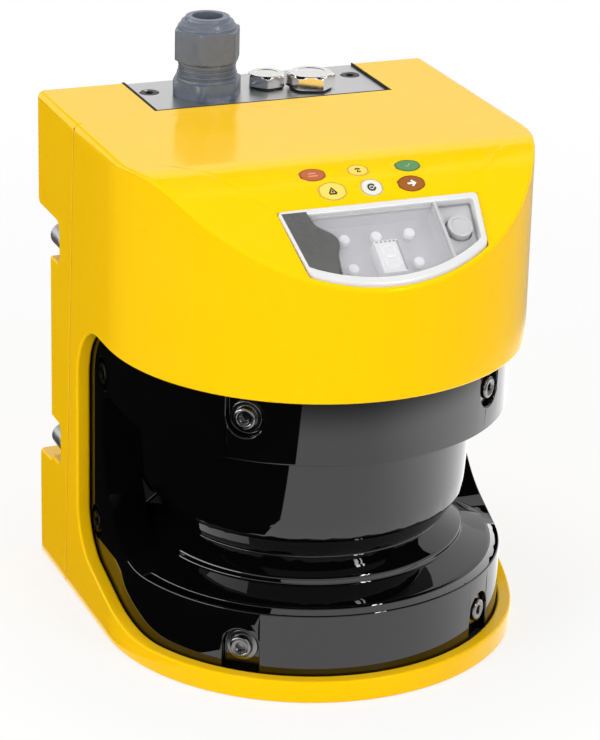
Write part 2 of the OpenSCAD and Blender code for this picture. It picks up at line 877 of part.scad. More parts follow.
module status_symbols_yellow() {
    color("#f2d766") for (label = [symbols[2], symbols[3]]) {
        panel_label(label[0], label[1], label[2], 0);
    }
}

module status_symbol_white() {
    color("#f4f4ee") panel_label(symbols[4][0], symbols[4][1], symbols[4][2], 0);
}

module status_symbol_orange() {
    color("#a85a1c") panel_label(symbols[5][0], symbols[5][1], symbols[5][2], 0);
}

// ---- system plug ----

// A flat slab of the plug plate's outline.
module plug_slab(z_low, z_high) {
    block([plug_x - plug_w / 2, plug_front_y, z_low], [plug_x + plug_w / 2, rear_y, z_high]);
}

module plate_holes(z, h, gland_bore) {
    translate([gland_at[0], gland_at[1], z]) cylinder(r = gland_bore, h = h);
    translate([small_plug_at[0], small_plug_at[1], z]) cylinder(r = small_thread_r + 0.05, h = h);
    translate([large_plug_at[0], large_plug_at[1], z]) cylinder(r = large_thread_r + 0.05, h = h);
}

module system_plug_plate() {
    color(light_grey) difference() {
        plug_slab(plate_top - plate_t, plate_top);
        plate_holes(plate_top - plate_t - 1, plate_t + 2, gland_nut_r + 0.05);
        for (side = [-1, 1]) {
            translate([plug_x + side * plug_screw_dx, plug_screw_y, 0]) {
                cylinder(r = 1.8, h = body_h + 1);
                translate([0, 0, plate_top - 1.5]) cylinder(r = 3.6, h = 3);
            }
        }
    }
}

module system_plug_seal() {
    color("#26262a") difference() {
        plug_slab(ledge_z, ledge_z + plug_seal_t);
        block([plug_x - plug_hole[0] / 2, rear_y - 8 - plug_hole[1], ledge_z - 1],
            [plug_x + plug_hole[0] / 2, rear_y - 8, ledge_z + 2]);
        plate_holes(ledge_z - 1, 3, gland_nut_r + 0.5);
        for (side = [-1, 1]) {
            translate([plug_x + side * plug_screw_dx, plug_screw_y, 0]) cylinder(r = 1.8, h = body_h + 1);
        }
    }
}

module system_plug_screws() {
    color("#2a2a2c") for (side = [-1, 1]) {
        translate([plug_x + side * plug_screw_dx, plug_screw_y, 0]) difference() {
            union() {
                translate([0, 0, ledge_z - 8]) cylinder(r = 1.5, h = 10);
                translate([0, 0, plate_top - 1.5]) cylinder(r = 3.4, h = 1.4);
                translate([0, 0, plate_top - 4]) cylinder(r = 1.5, h = 3);
            }
            translate([0, 0, plate_top - 1.2]) cylinder(r = hex_r(2.5), h = 3, $fn = 6);
        }
    }
}

// Moulded block under the plate whose contacts enter the module's socket.
module plug_connector() {
    color(black) {
        block([plug_block_x[0], plug_block_y[0], socket_top_z],
            [plug_block_x[1], plug_block_y[1], ledge_z - 5]);
        block([plug_block_x[0], plug_block_y[0], socket_top_z],
            [plug_block_x[0] + plug_leg_w[0], plug_block_y[1], plate_top - plate_t]);
        block([plug_block_x[1] - plug_leg_w[1], plug_block_y[0], socket_top_z],
            [plug_block_x[1], plug_block_y[1], plate_top - plate_t]);
    }
}

module memory_board() {
    color(board_green) block([plug_block_x[0] + 3, plug_block_y[0] - board_t, memory_board_low_z],
        [plug_block_x[1] - 3, plug_block_y[0], ledge_z - 6]);
}

module gland_body() {
    color(dark_grey) translate([gland_at[0], gland_at[1], 0]) difference() {
        union() {
            translate([0, 0, ledge_z - 7]) cylinder(r = gland_nut_r, h = plate_top - ledge_z + 8);
            translate([0, 0, plate_top]) cylinder(r = hex_r(gland_flats), h = gland_hex_h, $fn = 6);
            translate([0, 0, plate_top]) cylinder(r = gland_flats / 2 - 0.9, h = cap_z - plate_top);
            translate([0, 0, plate_top])
                cylinder(r = gland_thread_r - 0.05, h = cap_z - plate_top + cap_h - 6);
        }
        translate([0, 0, ledge_z - 8]) cylinder(r = cable_r + 0.6, h = 60);
        translate([0, 0, cap_z]) cylinder(r = cable_r + 1.6, h = 60);
    }
}

module gland_seal_insert() {
    color("#151517") translate([gland_at[0], gland_at[1], 0]) difference() {
        translate([0, 0, cap_z]) cylinder(r = cable_r + 1.55, h = cap_h - 4.2);
        translate([0, 0, cap_z - 1]) cylinder(r = cable_r - 0.4, h = cap_h);
    }
}

module gland_cap_nut() {
    color(dark_grey) translate([gland_at[0], gland_at[1], cap_z]) difference() {
        intersection() {
            cylinder(r = hex_r(cap_flats), h = cap_h, $fn = 6);
            rotate_extrude() polygon([[0, 0], [cap_skirt_r, 0], [cap_skirt_r, cap_skirt_h],
                [cap_flats / 2 + 1, cap_skirt_h + 0.6], [cap_flats / 2 + 1, cap_h - 4],
                [cap_flats / 2 - 1.5, cap_h - 1.2], [cap_flats / 2 - 4, cap_h], [0, cap_h]]);
        }
        translate([0, 0, -1]) cylinder(r = gland_thread_r, h = cap_h - 3);
        translate([0, 0, -1]) cylinder(r = cable_r, h = cap_h + 2);
    }
}

module hex_plug(at, flats, thread_r, head_h) {
    translate([at[0], at[1], 0]) difference() {
        union() {
            translate([0, 0, plate_top + plug_ring_t]) intersection() {
                cylinder(r = hex_r(flats), h = head_h, $fn = 6);
                cylinder(r1 = flats, r2 = flats / 2, h = head_h);
            }
            translate([0, 0, ledge_z - 3]) cylinder(r = thread_r, h = plate_top - ledge_z + 4);
        }
        translate([0, 0, ledge_z - 4]) cylinder(r = thread_r - 1.5, h = 7);
    }
}

module blanking_plug_small() {
    color(steel) hex_plug(small_plug_at, small_plug_flats, small_thread_r, 4.4);
}

module blanking_plug_large() {
    color(steel) hex_plug(large_plug_at, large_plug_flats, large_thread_r, 5.2);
}

module blanking_plug_rings() {
    color("#26262a") {
        translate([small_plug_at[0], small_plug_at[1], plate_top]) difference() {
            cylinder(r = small_plug_flats / 2 - 0.2, h = plug_ring_t);
            translate([0, 0, -1]) cylinder(r = small_thread_r + 0.05, h = 3);
        }
        translate([large_plug_at[0], large_plug_at[1], plate_top]) difference() {
            cylinder(r = large_plug_flats / 2 - 0.2, h = plug_ring_t);
            translate([0, 0, -1]) cylinder(r = large_thread_r + 0.05, h = 3);
        }
    }
}

// ---- mirror drive ----

module motor_bracket() {
    color("silver") {
        ring(30, bearing_r + bearing_fit, floor_z, floor_z + bracket_t);
        ring(hub_r, bearing_r + bearing_fit, floor_z, hub_top_z);
        ring(hub_r + 2.5, hub_r - 1, floor_z + bracket_t - eps, shoulder_z);
        ring(bearing_r + 1, shaft_r + 1.2, bearing_low_z + bearing_w, bearing_low_z + bearing_w + 2);
        ring(bearing_r + 1, shaft_r + 1.2, hub_top_z - bearing_w - 2, hub_top_z - bearing_w);
    }
}

module ball_bearings() {
    color(steel) {
        ring(bearing_r, shaft_r + bearing_fit, bearing_low_z, bearing_low_z + bearing_w);
        ring(bearing_r, shaft_r + bearing_fit, hub_top_z - bearing_w, hub_top_z);
    }
}

module motor_stator() {
    color("#9a5a2c") ring(stator_r, hub_r + bearing_fit, shoulder_z, shoulder_z + 14);
}

module rotor_cup() {
    color("silver") difference() {
        disc(cup_r, cup_low_z, cup_top_z);
        disc(cup_r - cup_t, cup_low_z - 1, cup_top_z - cup_t);
        disc(shaft_r, cup_low_z, cup_top_z + 1);
    }
}

module rotor_magnet() {
    color("#3a3a3e") ring(cup_r - cup_t, magnet_r, cup_low_z + 1, cup_low_z + 15);
}

module rotor_shaft() {
    color(steel) disc(shaft_r, floor_z + 1, scan_h - 8);
}

module encoder_disc() {
    color("#d0d4dc") ring(disc_r, shaft_r, cup_top_z, carrier_z);
}

module encoder_sensor() {
    color(black) difference() {
        translate([0, axis_y, 0]) block([disc_r - 3, -5, cup_top_z - 4], [disc_r + 5, 5, cup_top_z + 5]);
        disc(disc_r + 1.5, cup_top_z - 1.2, carrier_z + 1.2);
    }
    color(black) translate([0, axis_y, 0]) block([disc_r, -4, floor_z], [disc_r + 5, 4, cup_top_z - 4]);
}

// Space above the 45 degree mirror face, moved out by shift.
module above_face(shift) {
    translate([0, axis_y, scan_h]) rotate([45, 0, 0]) translate([-60, -60, shift]) cube([120, 120, 120]);
}

module mirror_carrier() {
    color(dark_grey) difference() {
        disc(carrier_r, carrier_z, scan_h + carrier_r);
        above_face(0);
        disc(shaft_r, carrier_z - 1, scan_h - 8);
    }
}

module deflecting_mirror() {
    color("#dfe6f2") difference() {
        disc(mirror_r, scan_h - 40, scan_h + 40);
        above_face(mirror_t);
        difference() {
            disc(mirror_r + 5, scan_h - 50, scan_h + 50);
            above_face(0);
        }
    }
}

// ---- optics above the mirror ----

module lens_tube() {
    color(black) difference() {
        union() {
            ring(tube_r, tube_r - tube_t, tube_low_z, deck_top + flange_t);
            ring(tube_r + tube_flange_w, tube_r - tube_t, deck_top, deck_top + flange_t);
            ring(tube_r - tube_t + eps, tube_r - tube_t - 1.5, lens_z - 2, lens_z);
        }
        // flat at the rear, along the rear walls of the hood and of the cover's seat
        block([-half_w, cavity_rear_y - fit_gap, deck_top], [half_w, rear_y, deck_top + flange_t + 1]);
        block([-half_w, pocket_rear_y - fit_gap, tube_low_z - 1], [half_w, rear_y, deck_top + 1]);
    }
}

module receiver_lens() {
    color("#dfeaf5", 0.4) difference() {
        intersection() {
            disc(tube_r - tube_t - 0.05, lens_z, lens_z + lens_t);
            translate([0, axis_y, lens_z + lens_t - 90]) sphere(r = 90);
        }
        disc(sender_r + 0.05, lens_z - 1, lens_z + lens_t + 1);
    }
}

module sender_tube() {
    color(dark_grey) {
        ring(sender_r, sender_r - 1.5, lens_z - 2, bridge_z + 3);
        ring(sender_r + 2, sender_r - 1.5, bridge_z + 3, bridge_z + 4.5);
    }
}

module collimator_lens() {
    color("#dfeaf5", 0.4) disc(sender_r - 1.5 - 0.02, lens_z - 1, lens_z + 2);
}

module sender_bridge() {
    color("silver") difference() {
        translate([0, axis_y, 0]) {
            block([-tube_r - 8, -9, bridge_z], [tube_r + 8, 9, bridge_z + 3]);
            for (side = [-1, 1]) {
                translate([side * (tube_r + 4), 0, 0])
                    block([-4, -9, deck_top + flange_t], [4, 9, bridge_z + eps]);
            }
        }
        disc(sender_r + 0.05, bridge_z - 1, bridge_z + 4);
    }
}

module laser_module() {
    color("#b08d4a") disc(laser_r, bridge_z + 4.5, bridge_z + 4.5 + laser_h - 4);
}

module detector_board() {
    color(board_green) translate([0, axis_y, detector_z]) linear_extrude(board_t)
        rounded_rect([2 * (detector_post_x + detector_edge), 2 * (detector_post_y + detector_edge)], 3);
}

module detector_posts() {
    color("silver") for (x = [-1, 1]) for (y = [-1, 1]) {
        translate([x * detector_post_x, axis_y + y * detector_post_y, deck_top]) {
            cylinder(r = post_r, h = detector_z - deck_top);
            translate([0, 0, detector_z - deck_top + board_t]) cylinder(r = post_r, h = post_head_h);
        }
    }
}

// ---- boards ----

module main_board() {
    room_h = body_h - wall_t - deck_top;
    color(board_green) along_y(main_board_y, main_board_y + board_t)
        translate([0, deck_top + room_h / 2]) rounded_rect([main_board_w, room_h - 2 * main_board_edge], 2);
}

module main_board_posts() {
    color("silver") for (x = [-1, 1]) for (z = [deck_top + 24, body_h - wall_t - 9]) {
        translate([x * (main_board_w / 2 - 6), 0, z]) rotate([-90, 0, 0]) {
            translate([0, 0, main_board_y + board_t])
                cylinder(r = post_r, h = cavity_rear_y - main_board_y - board_t);
            translate([0, 0, main_board_y - post_head_h]) cylinder(r = post_r, h = post_head_h);
        }
    }
}

module io_board() {
    color(board_green) along_y(io_board_y, io_board_y + board_t)
        translate([0, (io_board_high_z + io_board_low_z) / 2])
            rounded_rect([io_board_w, io_board_high_z - io_board_low_z], 2);
}

module io_board_posts() {
    color("silver") for (x = [-1, 1]) for (z = [recess_low_z + 8, recess_high_z - 18]) {
        translate([x * (io_board_w / 2 - 8), 0, z]) rotate([-90, 0, 0]) {
            translate([0, 0, io_board_y + board_t])
                cylinder(r = post_r, h = recess_y - wall_t - io_board_y - board_t);
            translate([0, 0, io_board_y - post_head_h]) cylinder(r = post_r, h = post_head_h);
        }
    }
}

module board_connector() {
    color(black) block([-20, main_board_y + board_t, connector_z - connector_h / 2],
        [20, io_board_y, connector_z + connector_h / 2]);
}

module io_socket() {
    color(black) block([plug_block_x[0], io_board_y + board_t, socket_top_z - 30],
        [plug_block_x[1], recess_y - wall_t - 1.3, socket_top_z]);
}

// A board round the mirror, cut off behind the axis.
module monitor_board(r_in, z, reach) {
    difference() {
        ring(monitor_r, r_in, z, z + board_t);
        block([-half_w, axis_y + reach, z - 1], [half_w, rear_y, z + board_t + 1]);
    }
}

module monitor_boards() {
    color(board_green) {
        monitor_board(upper_monitor_in_r, deck_z - board_t, 28);
        monitor_board(lower_monitor_in_r, floor_z, 12);
    }
}

module reference_target() {
    color("#e9e9ec") block([-12, pocket_rear_y - 6, scan_h - 8], [12, pocket_rear_y, scan_h + 8]);
}

sensor_head_housing();
io_module_housing();
seam_seal();
module_screws();
mounting_inserts();
optics_cover();
optics_cover_seal();
optics_cover_screws();
display_bezel();
display_window();
display_tray();
display_side_insert();
display_board();
seven_segment_display();
status_leds();
config_connector();
config_cap();
status_symbol_red();
status_symbol_green();
status_symbols_yellow();
status_symbol_white();
status_symbol_orange();
system_plug_plate();
system_plug_seal();
system_plug_screws();
plug_connector();
memory_board();
gland_body();
gland_seal_insert();
gland_cap_nut();
blanking_plug_small();
blanking_plug_large();
blanking_plug_rings();
motor_bracket();
ball_bearings();
motor_stator();
rotor_cup();
rotor_magnet();
rotor_shaft();
encoder_disc();
encoder_sensor();
mirror_carrier();
deflecting_mirror();
lens_tube();
receiver_lens();
sender_tube();
collimator_lens();
sender_bridge();
laser_module();
detector_board();
detector_posts();
main_board();
main_board_posts();
io_board();
io_board_posts();
board_connector();
io_socket();
monitor_boards();
reference_target();
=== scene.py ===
"""Looks of a safety laser scanner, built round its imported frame.

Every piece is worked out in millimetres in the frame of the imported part: the origin is the middle
of the footprint on the floor, the front is -Y and up is +Z.
"""

import json
import logging
import math
from dataclasses import dataclass, field
from enum import Enum
from typing import Any, Callable, Sequence

import bmesh
import bpy
import numpy as np
from mathutils import Matrix, Vector

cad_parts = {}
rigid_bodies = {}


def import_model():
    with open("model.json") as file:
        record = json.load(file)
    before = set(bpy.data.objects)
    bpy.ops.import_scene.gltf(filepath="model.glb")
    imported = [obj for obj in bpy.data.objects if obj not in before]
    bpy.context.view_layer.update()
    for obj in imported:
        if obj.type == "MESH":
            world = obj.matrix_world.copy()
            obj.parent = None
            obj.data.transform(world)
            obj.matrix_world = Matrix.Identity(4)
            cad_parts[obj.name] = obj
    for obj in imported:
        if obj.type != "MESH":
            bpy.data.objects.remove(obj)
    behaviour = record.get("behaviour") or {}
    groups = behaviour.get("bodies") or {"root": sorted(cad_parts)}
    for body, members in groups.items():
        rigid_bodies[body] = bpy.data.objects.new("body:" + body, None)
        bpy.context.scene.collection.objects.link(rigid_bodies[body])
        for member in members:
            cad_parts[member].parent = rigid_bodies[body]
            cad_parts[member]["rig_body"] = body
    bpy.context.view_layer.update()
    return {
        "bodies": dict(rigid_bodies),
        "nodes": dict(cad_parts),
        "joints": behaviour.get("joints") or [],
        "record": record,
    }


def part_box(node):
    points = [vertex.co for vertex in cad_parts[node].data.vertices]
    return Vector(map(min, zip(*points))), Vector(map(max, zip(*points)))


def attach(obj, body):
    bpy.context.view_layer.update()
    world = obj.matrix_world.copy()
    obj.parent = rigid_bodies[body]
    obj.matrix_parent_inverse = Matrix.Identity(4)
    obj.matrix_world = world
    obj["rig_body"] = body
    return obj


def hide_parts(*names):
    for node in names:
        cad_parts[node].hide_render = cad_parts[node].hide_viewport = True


LOG = logging.getLogger("scanner")
MM = 0.001
SAME_POINT = 1e-6
Array = np.ndarray
Colour = tuple[float, float, float]
Point = tuple[float, float, float]
Swell = Callable[[Array, Array, Array], Array]

# ---- shapes ---------------------------------------------------------------------------------


@dataclass(frozen=True)
class Place:
    """A corner of space: an origin in millimetres and three unit directions."""

    origin: Point
    across: Point = (1.0, 0.0, 0.0)
    along: Point = (0.0, 1.0, 0.0)
    out: Point = (0.0, 0.0, 1.0)

    def carry(self, a: Any, b: Any, c: Any) -> Array:
        """Frame points origin + a across + b along + c out.

        Args:
            a: Distances across.
            b: Distances along.
            c: Distances out.

        Returns:
            Array of points, one more axis than the arguments.
        """
        a, b, c = np.broadcast_arrays(*(np.asarray(v, float) for v in (a, b, c)))
        parts = zip((a, b, c), (self.across, self.along, self.out))
        return np.asarray(self.origin) + sum(v[..., None] * np.asarray(d) for v, d in parts)


def place_along(origin: Sequence[float], out: Sequence[float], spin: float = 0.0) -> Place:
    """A place whose out direction is given, turned by spin degrees about it.

    Args:
        origin: Its origin.
        out: Its out direction, of any length.
        spin: Turn of the across direction about out, in degrees.

    Returns:
        The place.
    """
    w = np.asarray(out, float) / np.linalg.norm(out)
    helper = np.array([0.0, 0.0, 1.0]) if abs(w[2]) < 0.9 else np.array([1.0, 0.0, 0.0])
    u = np.cross(helper, w) if abs(w[2]) < 0.9 else helper - w * helper.dot(w)
    u /= np.linalg.norm(u)
    v = np.cross(w, u)
    c, s = math.cos(math.radians(spin)), math.sin(math.radians(spin))
    return Place(tuple(origin), tuple(c * u + s * v), tuple(c * v - s * u), tuple(w))


@dataclass
class Surface:
    """A grid of points that becomes quads; wrap joins its last row or column to its first."""

    points: Array
    wrap_rows: bool = False
    wrap_cols: bool = True
    capped: bool = False
    finish: int = 0

    def pieces(self) -> tuple[Array, Array]:
        """The surface's points and quads.

        Returns:
            The points as (n, 3) and the quads as (m, 4) indices. A capped surface has its first and
            last row drawn in to their mean, which closes it.
        """
        grid = self.points
        if self.capped:
            first = np.broadcast_to(grid[:1].mean(axis=1, keepdims=True), grid[:1].shape)
            last = np.broadcast_to(grid[-1:].mean(axis=1, keepdims=True), grid[-1:].shape)
            grid = np.concatenate([first, grid, last])
        rows, cols = grid.shape[:2]
        down, over = np.arange(rows - (not self.wrap_rows)), np.arange(cols - (not self.wrap_cols))
        r, c = np.meshgrid(down, over, indexing="ij")
        r2, c2 = (r + 1) % rows, (c + 1) % cols
        quads = np.stack([r * cols + c, r * cols + c2, r2 * cols + c2, r2 * cols + c], axis=-1)
        return grid.reshape(-1, 3), quads.reshape(-1, 4)


def round_corners(corners: Sequence[Sequence[float]], radii: Sequence[float], steps: int = 5,
                  closed: bool = True) -> Array:
    """Outline whose corner C is the curve (1-t)^2 A + 2t(1-t) C + t^2 B, A and B a radius away.

    Args:
        corners: The corners, as points of two numbers.
        radii: One radius for each corner; 0 keeps it sharp.
        steps: Points on each corner's curve.
        closed: Whether the last corner leads back to the first.

    Returns:
        The outline as an (n, 2) array.
    """
    c = np.asarray(corners, float)
    before, after = np.roll(c, 1, axis=0), np.roll(c, -1, axis=0)
    if not closed:
        before[0], after[-1] = c[0], c[-1]
    r = np.asarray(radii, float)[:, None]

    def towards(p: Array) -> Array:
        """Points a radius from each corner towards p."""
        d = p - c
        length = np.maximum(np.linalg.norm(d, axis=1, keepdims=True), 1e-9)
        return c + d * np.minimum(r / length, 0.5)

    a, b = towards(before)[:, None], towards(after)[:, None]
    t = np.linspace(0, 1, steps)[None, :, None]
    return ((1 - t) ** 2 * a + 2 * t * (1 - t) * c[:, None] + t**2 * b).reshape(-1, 2)


def soften_loop(loop: Array, reach: int) -> Array:
    """A closed loop whose points are the running mean of themselves and reach neighbours each way.

    Args:
        loop: Points as (n, k).
        reach: Number of neighbours on each side.

    Returns:
        The softened loop.
    """
    return sum(np.roll(loop, k, axis=0) for k in range(-reach, reach + 1)) / (2 * reach + 1)


def lathe(place: Place, profile: Array, turns: int = 64, swell: Swell | None = None) -> Array:
    """Profile carried round an axis: P(u, v) = r(u) cos v across + r(u) sin v along + h(u) out.

    Args:
        place: Origin and axis.
        profile: Rows of (radius, height).
        turns: Points round the axis.
        swell: Changes the radius from (radius, height, angle in radians), as for a hexagon.

    Returns:
        Grid of points, one row for each point of the profile.
    """
    v = np.linspace(0, 2 * math.pi, turns, endpoint=False)[None]
    r, h = profile[:, :1] + 0 * v, profile[:, 1:2] + 0 * v
    r = r if swell is None else swell(r, h, v + 0 * r)
    return place.carry(r * np.cos(v), r * np.sin(v), h)


def turnings(places: Sequence[Place], profile: Array, turns: int = 64, swell: Swell | None = None,
             number: int = 0) -> list[Surface]:
    """One turned surface at each place, closed by its ends.

    Args:
        places: Origins and axes.
        profile: Rows of (radius, height).
        turns: Points round the axis.
        swell: Changes the radius, as in lathe.
        number: Finish number of the surfaces.

    Returns:
        The surfaces.
    """
    return [Surface(lathe(place, profile, turns, swell), capped=True, finish=number)
            for place in places]


def hexagon(angle: Array, flats: float, corner: float = 0.0) -> Array:
    """Radius of a hexagon: half the flats over cos(angle from a flat), corners cut softly.

    Args:
        angle: Angles in radians; a corner is at 0.
        flats: Distance across the flats.
        corner: Radius at which the corners are cut off, or 0 for sharp ones.

    Returns:
        The radii.
    """
    sharp = flats / 2 / np.cos((angle % (math.pi / 3)) - math.pi / 6)
    return sharp if corner == 0 else soft_min(sharp, corner)


def socket(flats: float, slack: float, floor: float, mouth: float) -> Swell:
    """Turns a round hole into a hexagon between two heights: r / hole radius x hexagon radius.

    Args:
        flats: Distance across the flats; the hole's radius is flats / sqrt(3).
        slack: Largest distance of a point outside the hole's radius.
        floor: Height over which it is a hexagon.
        mouth: Height under which it is a hexagon.

    Returns:
        The change of radius.
    """
    hole = flats / math.sqrt(3)

    def swell(r: Array, h: Array, v: Array) -> Array:
        """Radius that turns into the hexagon inside the socket."""
        inside = (r < hole + slack) & (h > floor) & (h < mouth)
        return np.where(inside, r / hole * hexagon(v, flats), r)

    return swell


def strip(place: Place, half_len: float, half_w: float, low: float, high: float, soft: float,
          number: int = 0) -> Surface:
    """A straight strip with rounded upper edges, from low to high over its place.

    Args:
        place: Its middle; across runs along the strip.
        half_len: Half its length.
        half_w: Half its width.
        low: Height of its underside.
        high: Height of its top.
        soft: Radius of its upper edges.
        number: Its finish number.

    Returns:
        The closed surface.
    """
    b, c = round_corners([(-half_w, low), (-half_w, high), (half_w, high), (half_w, low)],
                         (0, soft, soft, 0), 4).T
    a = np.linspace(-half_len, half_len, 8)[:, None]
    return Surface(place.carry(a, b, c), capped=True, finish=number)


def soft_min(a: Array, b: Any, power: float = 70.0) -> Array:
    """The smaller of two lengths with a soft corner between them: (a^-p + b^-p)^(-1/p)."""
    return (a**-power + np.asarray(b, float) ** -power) ** (-1 / power)


def ease(t: Array) -> Array:
    """The smooth step 3t^2 - 2t^3 of t held between 0 and 1."""
    t = np.clip(t, 0, 1)
    return t * t * (3 - 2 * t)


def make_piece(name: str, surfaces: Sequence[Surface], finishes: Sequence[str],
               nodes: Sequence[str] = (), body: str = "base",
               sharp: float = 40.0) -> bpy.types.Object:
    """Makes one object from surfaces, rides it on its body and lets it stand for CAD nodes.

    Args:
        name: The piece's name.
        surfaces: Its surfaces.
        finishes: Names of its finishes; a surface's finish number picks one.
        nodes: CAD nodes that it stands for.
        body: CAD body that it rides on.
        sharp: Angle in degrees over which an edge stays sharp.

    Returns:
        The object.
    """
    parts = [s.pieces() for s in surfaces]
    starts = np.cumsum([0] + [len(p) for p, _ in parts])
    points = np.concatenate([p for p, _ in parts]) * MM
    quads = np.concatenate([q + start for (_, q), start in zip(parts, starts)])
    which = np.repeat([s.finish for s in surfaces], [len(q) for _, q in parts]).astype(np.int32)
    mesh = bpy.data.meshes.new(name)
    mesh.from_pydata(points, [], quads)
    for finish_name in finishes:
        mesh.materials.append(FINISHES[finish_name].build())
    mesh.polygons.foreach_set("material_index", which)
    shape = bmesh.new()
    shape.from_mesh(mesh)
    bmesh.ops.remove_doubles(shape, verts=shape.verts, dist=SAME_POINT)
    bmesh.ops.dissolve_degenerate(shape, edges=shape.edges, dist=SAME_POINT / 10)
    bmesh.ops.recalc_face_normals(shape, faces=shape.faces)
    shape.to_mesh(mesh)
    shape.free()
    return settle(name, mesh, body, nodes, sharp)


def settle(name: str, mesh: bpy.types.Mesh, body: str, nodes: Sequence[str],
           sharp: float) -> bpy.types.Object:
    """Links a finished mesh, shades it, rides it on its body and reports it.

    Args:
        name: The piece's name.
        mesh: Its mesh, with its place in its points.
        body: CAD body that it rides on.
        nodes: CAD nodes that it stands for.
        sharp: Angle in degrees over which an edge stays sharp.

    Returns:
        The object.
    """
    mesh.shade_smooth()
    mesh.set_sharp_from_angle(angle=math.radians(sharp))
    piece = bpy.data.objects.new(name, mesh)
    bpy.context.scene.collection.objects.link(piece)
    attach(piece, body)
    if nodes:
        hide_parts(*nodes)
    LOG.info("%s: %d faces on %s", name, len(mesh.polygons), body)
    return piece


# ---- finishes -------------------------------------------------------------------------------


class Graph:
    """Short-hand for filling a node tree."""

    def __init__(self, tree: bpy.types.NodeTree) -> None:
        """Keeps the tree to fill."""
        self.tree = tree

    def node(self, kind: str, settings: dict[str, Any] | None = None,
             **inputs: Any) -> bpy.types.Node:
        """Adds a node.

        Args:
            kind: Its type's name, such as "ShaderNodeBump".
            settings: Attributes to set on it.
            **inputs: Its inputs by name, with _ for a space; a socket is linked and a value is set.

        Returns:
            The node.
        """
        node = self.tree.nodes.new(kind)
        for key, value in (settings or {}).items():
            setattr(node, key, value)
        for key, value in inputs.items():
            self.feed(node, key.replace("_", " "), value)
        return node

    def feed(self, node: bpy.types.Node, key: Any, value: Any) -> None:
        """Links a socket to the input called or numbered key, or sets the input to a value."""
        if isinstance(value, bpy.types.NodeSocket):
            self.tree.links.new(value, node.inputs[key])
        else:
            node.inputs[key].default_value = value

    def maths(self, operation: str, *values: Any) -> bpy.types.NodeSocket:
        """Result of a Math node on up to three values or sockets."""
        node = self.node("ShaderNodeMath", {"operation": operation})
        for i, value in enumerate(values):
            self.feed(node, i, value)
        return node.outputs[0]

    def times(self, first: Any, *others: Any) -> bpy.types.NodeSocket:
        """Product of values or sockets."""
        for other in others:
            first = self.maths("MULTIPLY", first, other)
        return first

    def mix(self, mask: Any, a: Any, b: Any) -> bpy.types.NodeSocket:
        """Colour a where the mask is 0 and colour b where it is 1."""
        node = self.node("ShaderNodeMix", {"data_type": "RGBA"})
        for key, value in ((0, mask), (6, a), (7, b)):
            self.feed(node, key, (*value, 1.0) if isinstance(value, tuple) else value)
        return node.outputs[2]

    def ramp(self, value: Any, low: float, high: float, to_low: float = 0.0,
             to_high: float = 1.0) -> bpy.types.NodeSocket:
        """Value mapped from low..high to to_low..to_high and held there."""
        node = self.node("ShaderNodeMapRange", {"interpolation_type": "SMOOTHSTEP"})
        for key, number in enumerate((value, low, high, to_low, to_high)):
            self.feed(node, key, number)
        return node.outputs[0]

    def noise(self, vector: Any, scale: Any, detail: float = 3.0,
              rough: float = 0.5) -> bpy.types.NodeSocket:
        """Value of a Noise Texture read at a point."""
        return self.node("ShaderNodeTexNoise", Vector=vector, Scale=scale, Detail=detail,
                         Roughness=rough).outputs["Fac"]

    def where(self) -> bpy.types.NodeSocket:
        """Object coordinates."""
        return self.node("ShaderNodeTexCoord").outputs["Object"]

    def effect(self, name: str, **inputs: Any) -> bpy.types.NodeSocket:
        """Result of a shared effect with this finish's own values."""
        return self.node("ShaderNodeGroup", {"node_tree": effect_group(name)}, **inputs).outputs[0]


def emptied(owner: bpy.types.Material | bpy.types.World) -> Graph:
    """The emptied node tree of a material or a world."""
    owner.use_nodes = True
    owner.node_tree.nodes.clear()
    return Graph(owner.node_tree)


def mottle(g: Graph, given: Any) -> bpy.types.NodeSocket:
    """Mask of a colour's unevenness: 0.6 slow noise + 0.4 fine noise, spread by Contrast."""
    slow = g.noise(given["Vector"], given["Scale"], 2.0)
    fine = g.noise(given["Vector"], g.times(given["Scale"], 9.0), 4.0, 0.6)
    both = g.maths("ADD", g.times(slow, 0.6), g.times(fine, 0.4))
    spread = g.maths("MULTIPLY_ADD", g.maths("SUBTRACT", both, 0.5), given["Contrast"], 0.5)
    return g.maths("MINIMUM", g.maths("MAXIMUM", spread, 0.0), 1.0)


def skin(g: Graph, given: Any) -> bpy.types.NodeSocket:
    """Relief of a moulded or painted skin in metres: Peel x smooth noise + Grain x fine noise."""
    peel = g.noise(given["Vector"], given["Peel Scale"], 1.0)
    grain = g.noise(given["Vector"], given["Grain Scale"], 3.0, 0.65)
    return g.maths("ADD", g.times(peel, given["Peel"]), g.times(grain, given["Grain"]))


def dust(g: Graph, given: Any) -> bpy.types.NodeSocket:
    """Mask of thin dust: upward part of the normal x broken noise x Amount."""
    normal = g.node("ShaderNodeNewGeometry").outputs["Normal"]
    up = g.node("ShaderNodeSeparateXYZ", Vector=normal).outputs["Z"]
    patches = g.ramp(g.noise(given["Vector"], 60.0, 5.0, 0.7), 0.35, 0.7)
    return g.times(g.ramp(up, 0.3, 1.0), patches, given["Amount"])


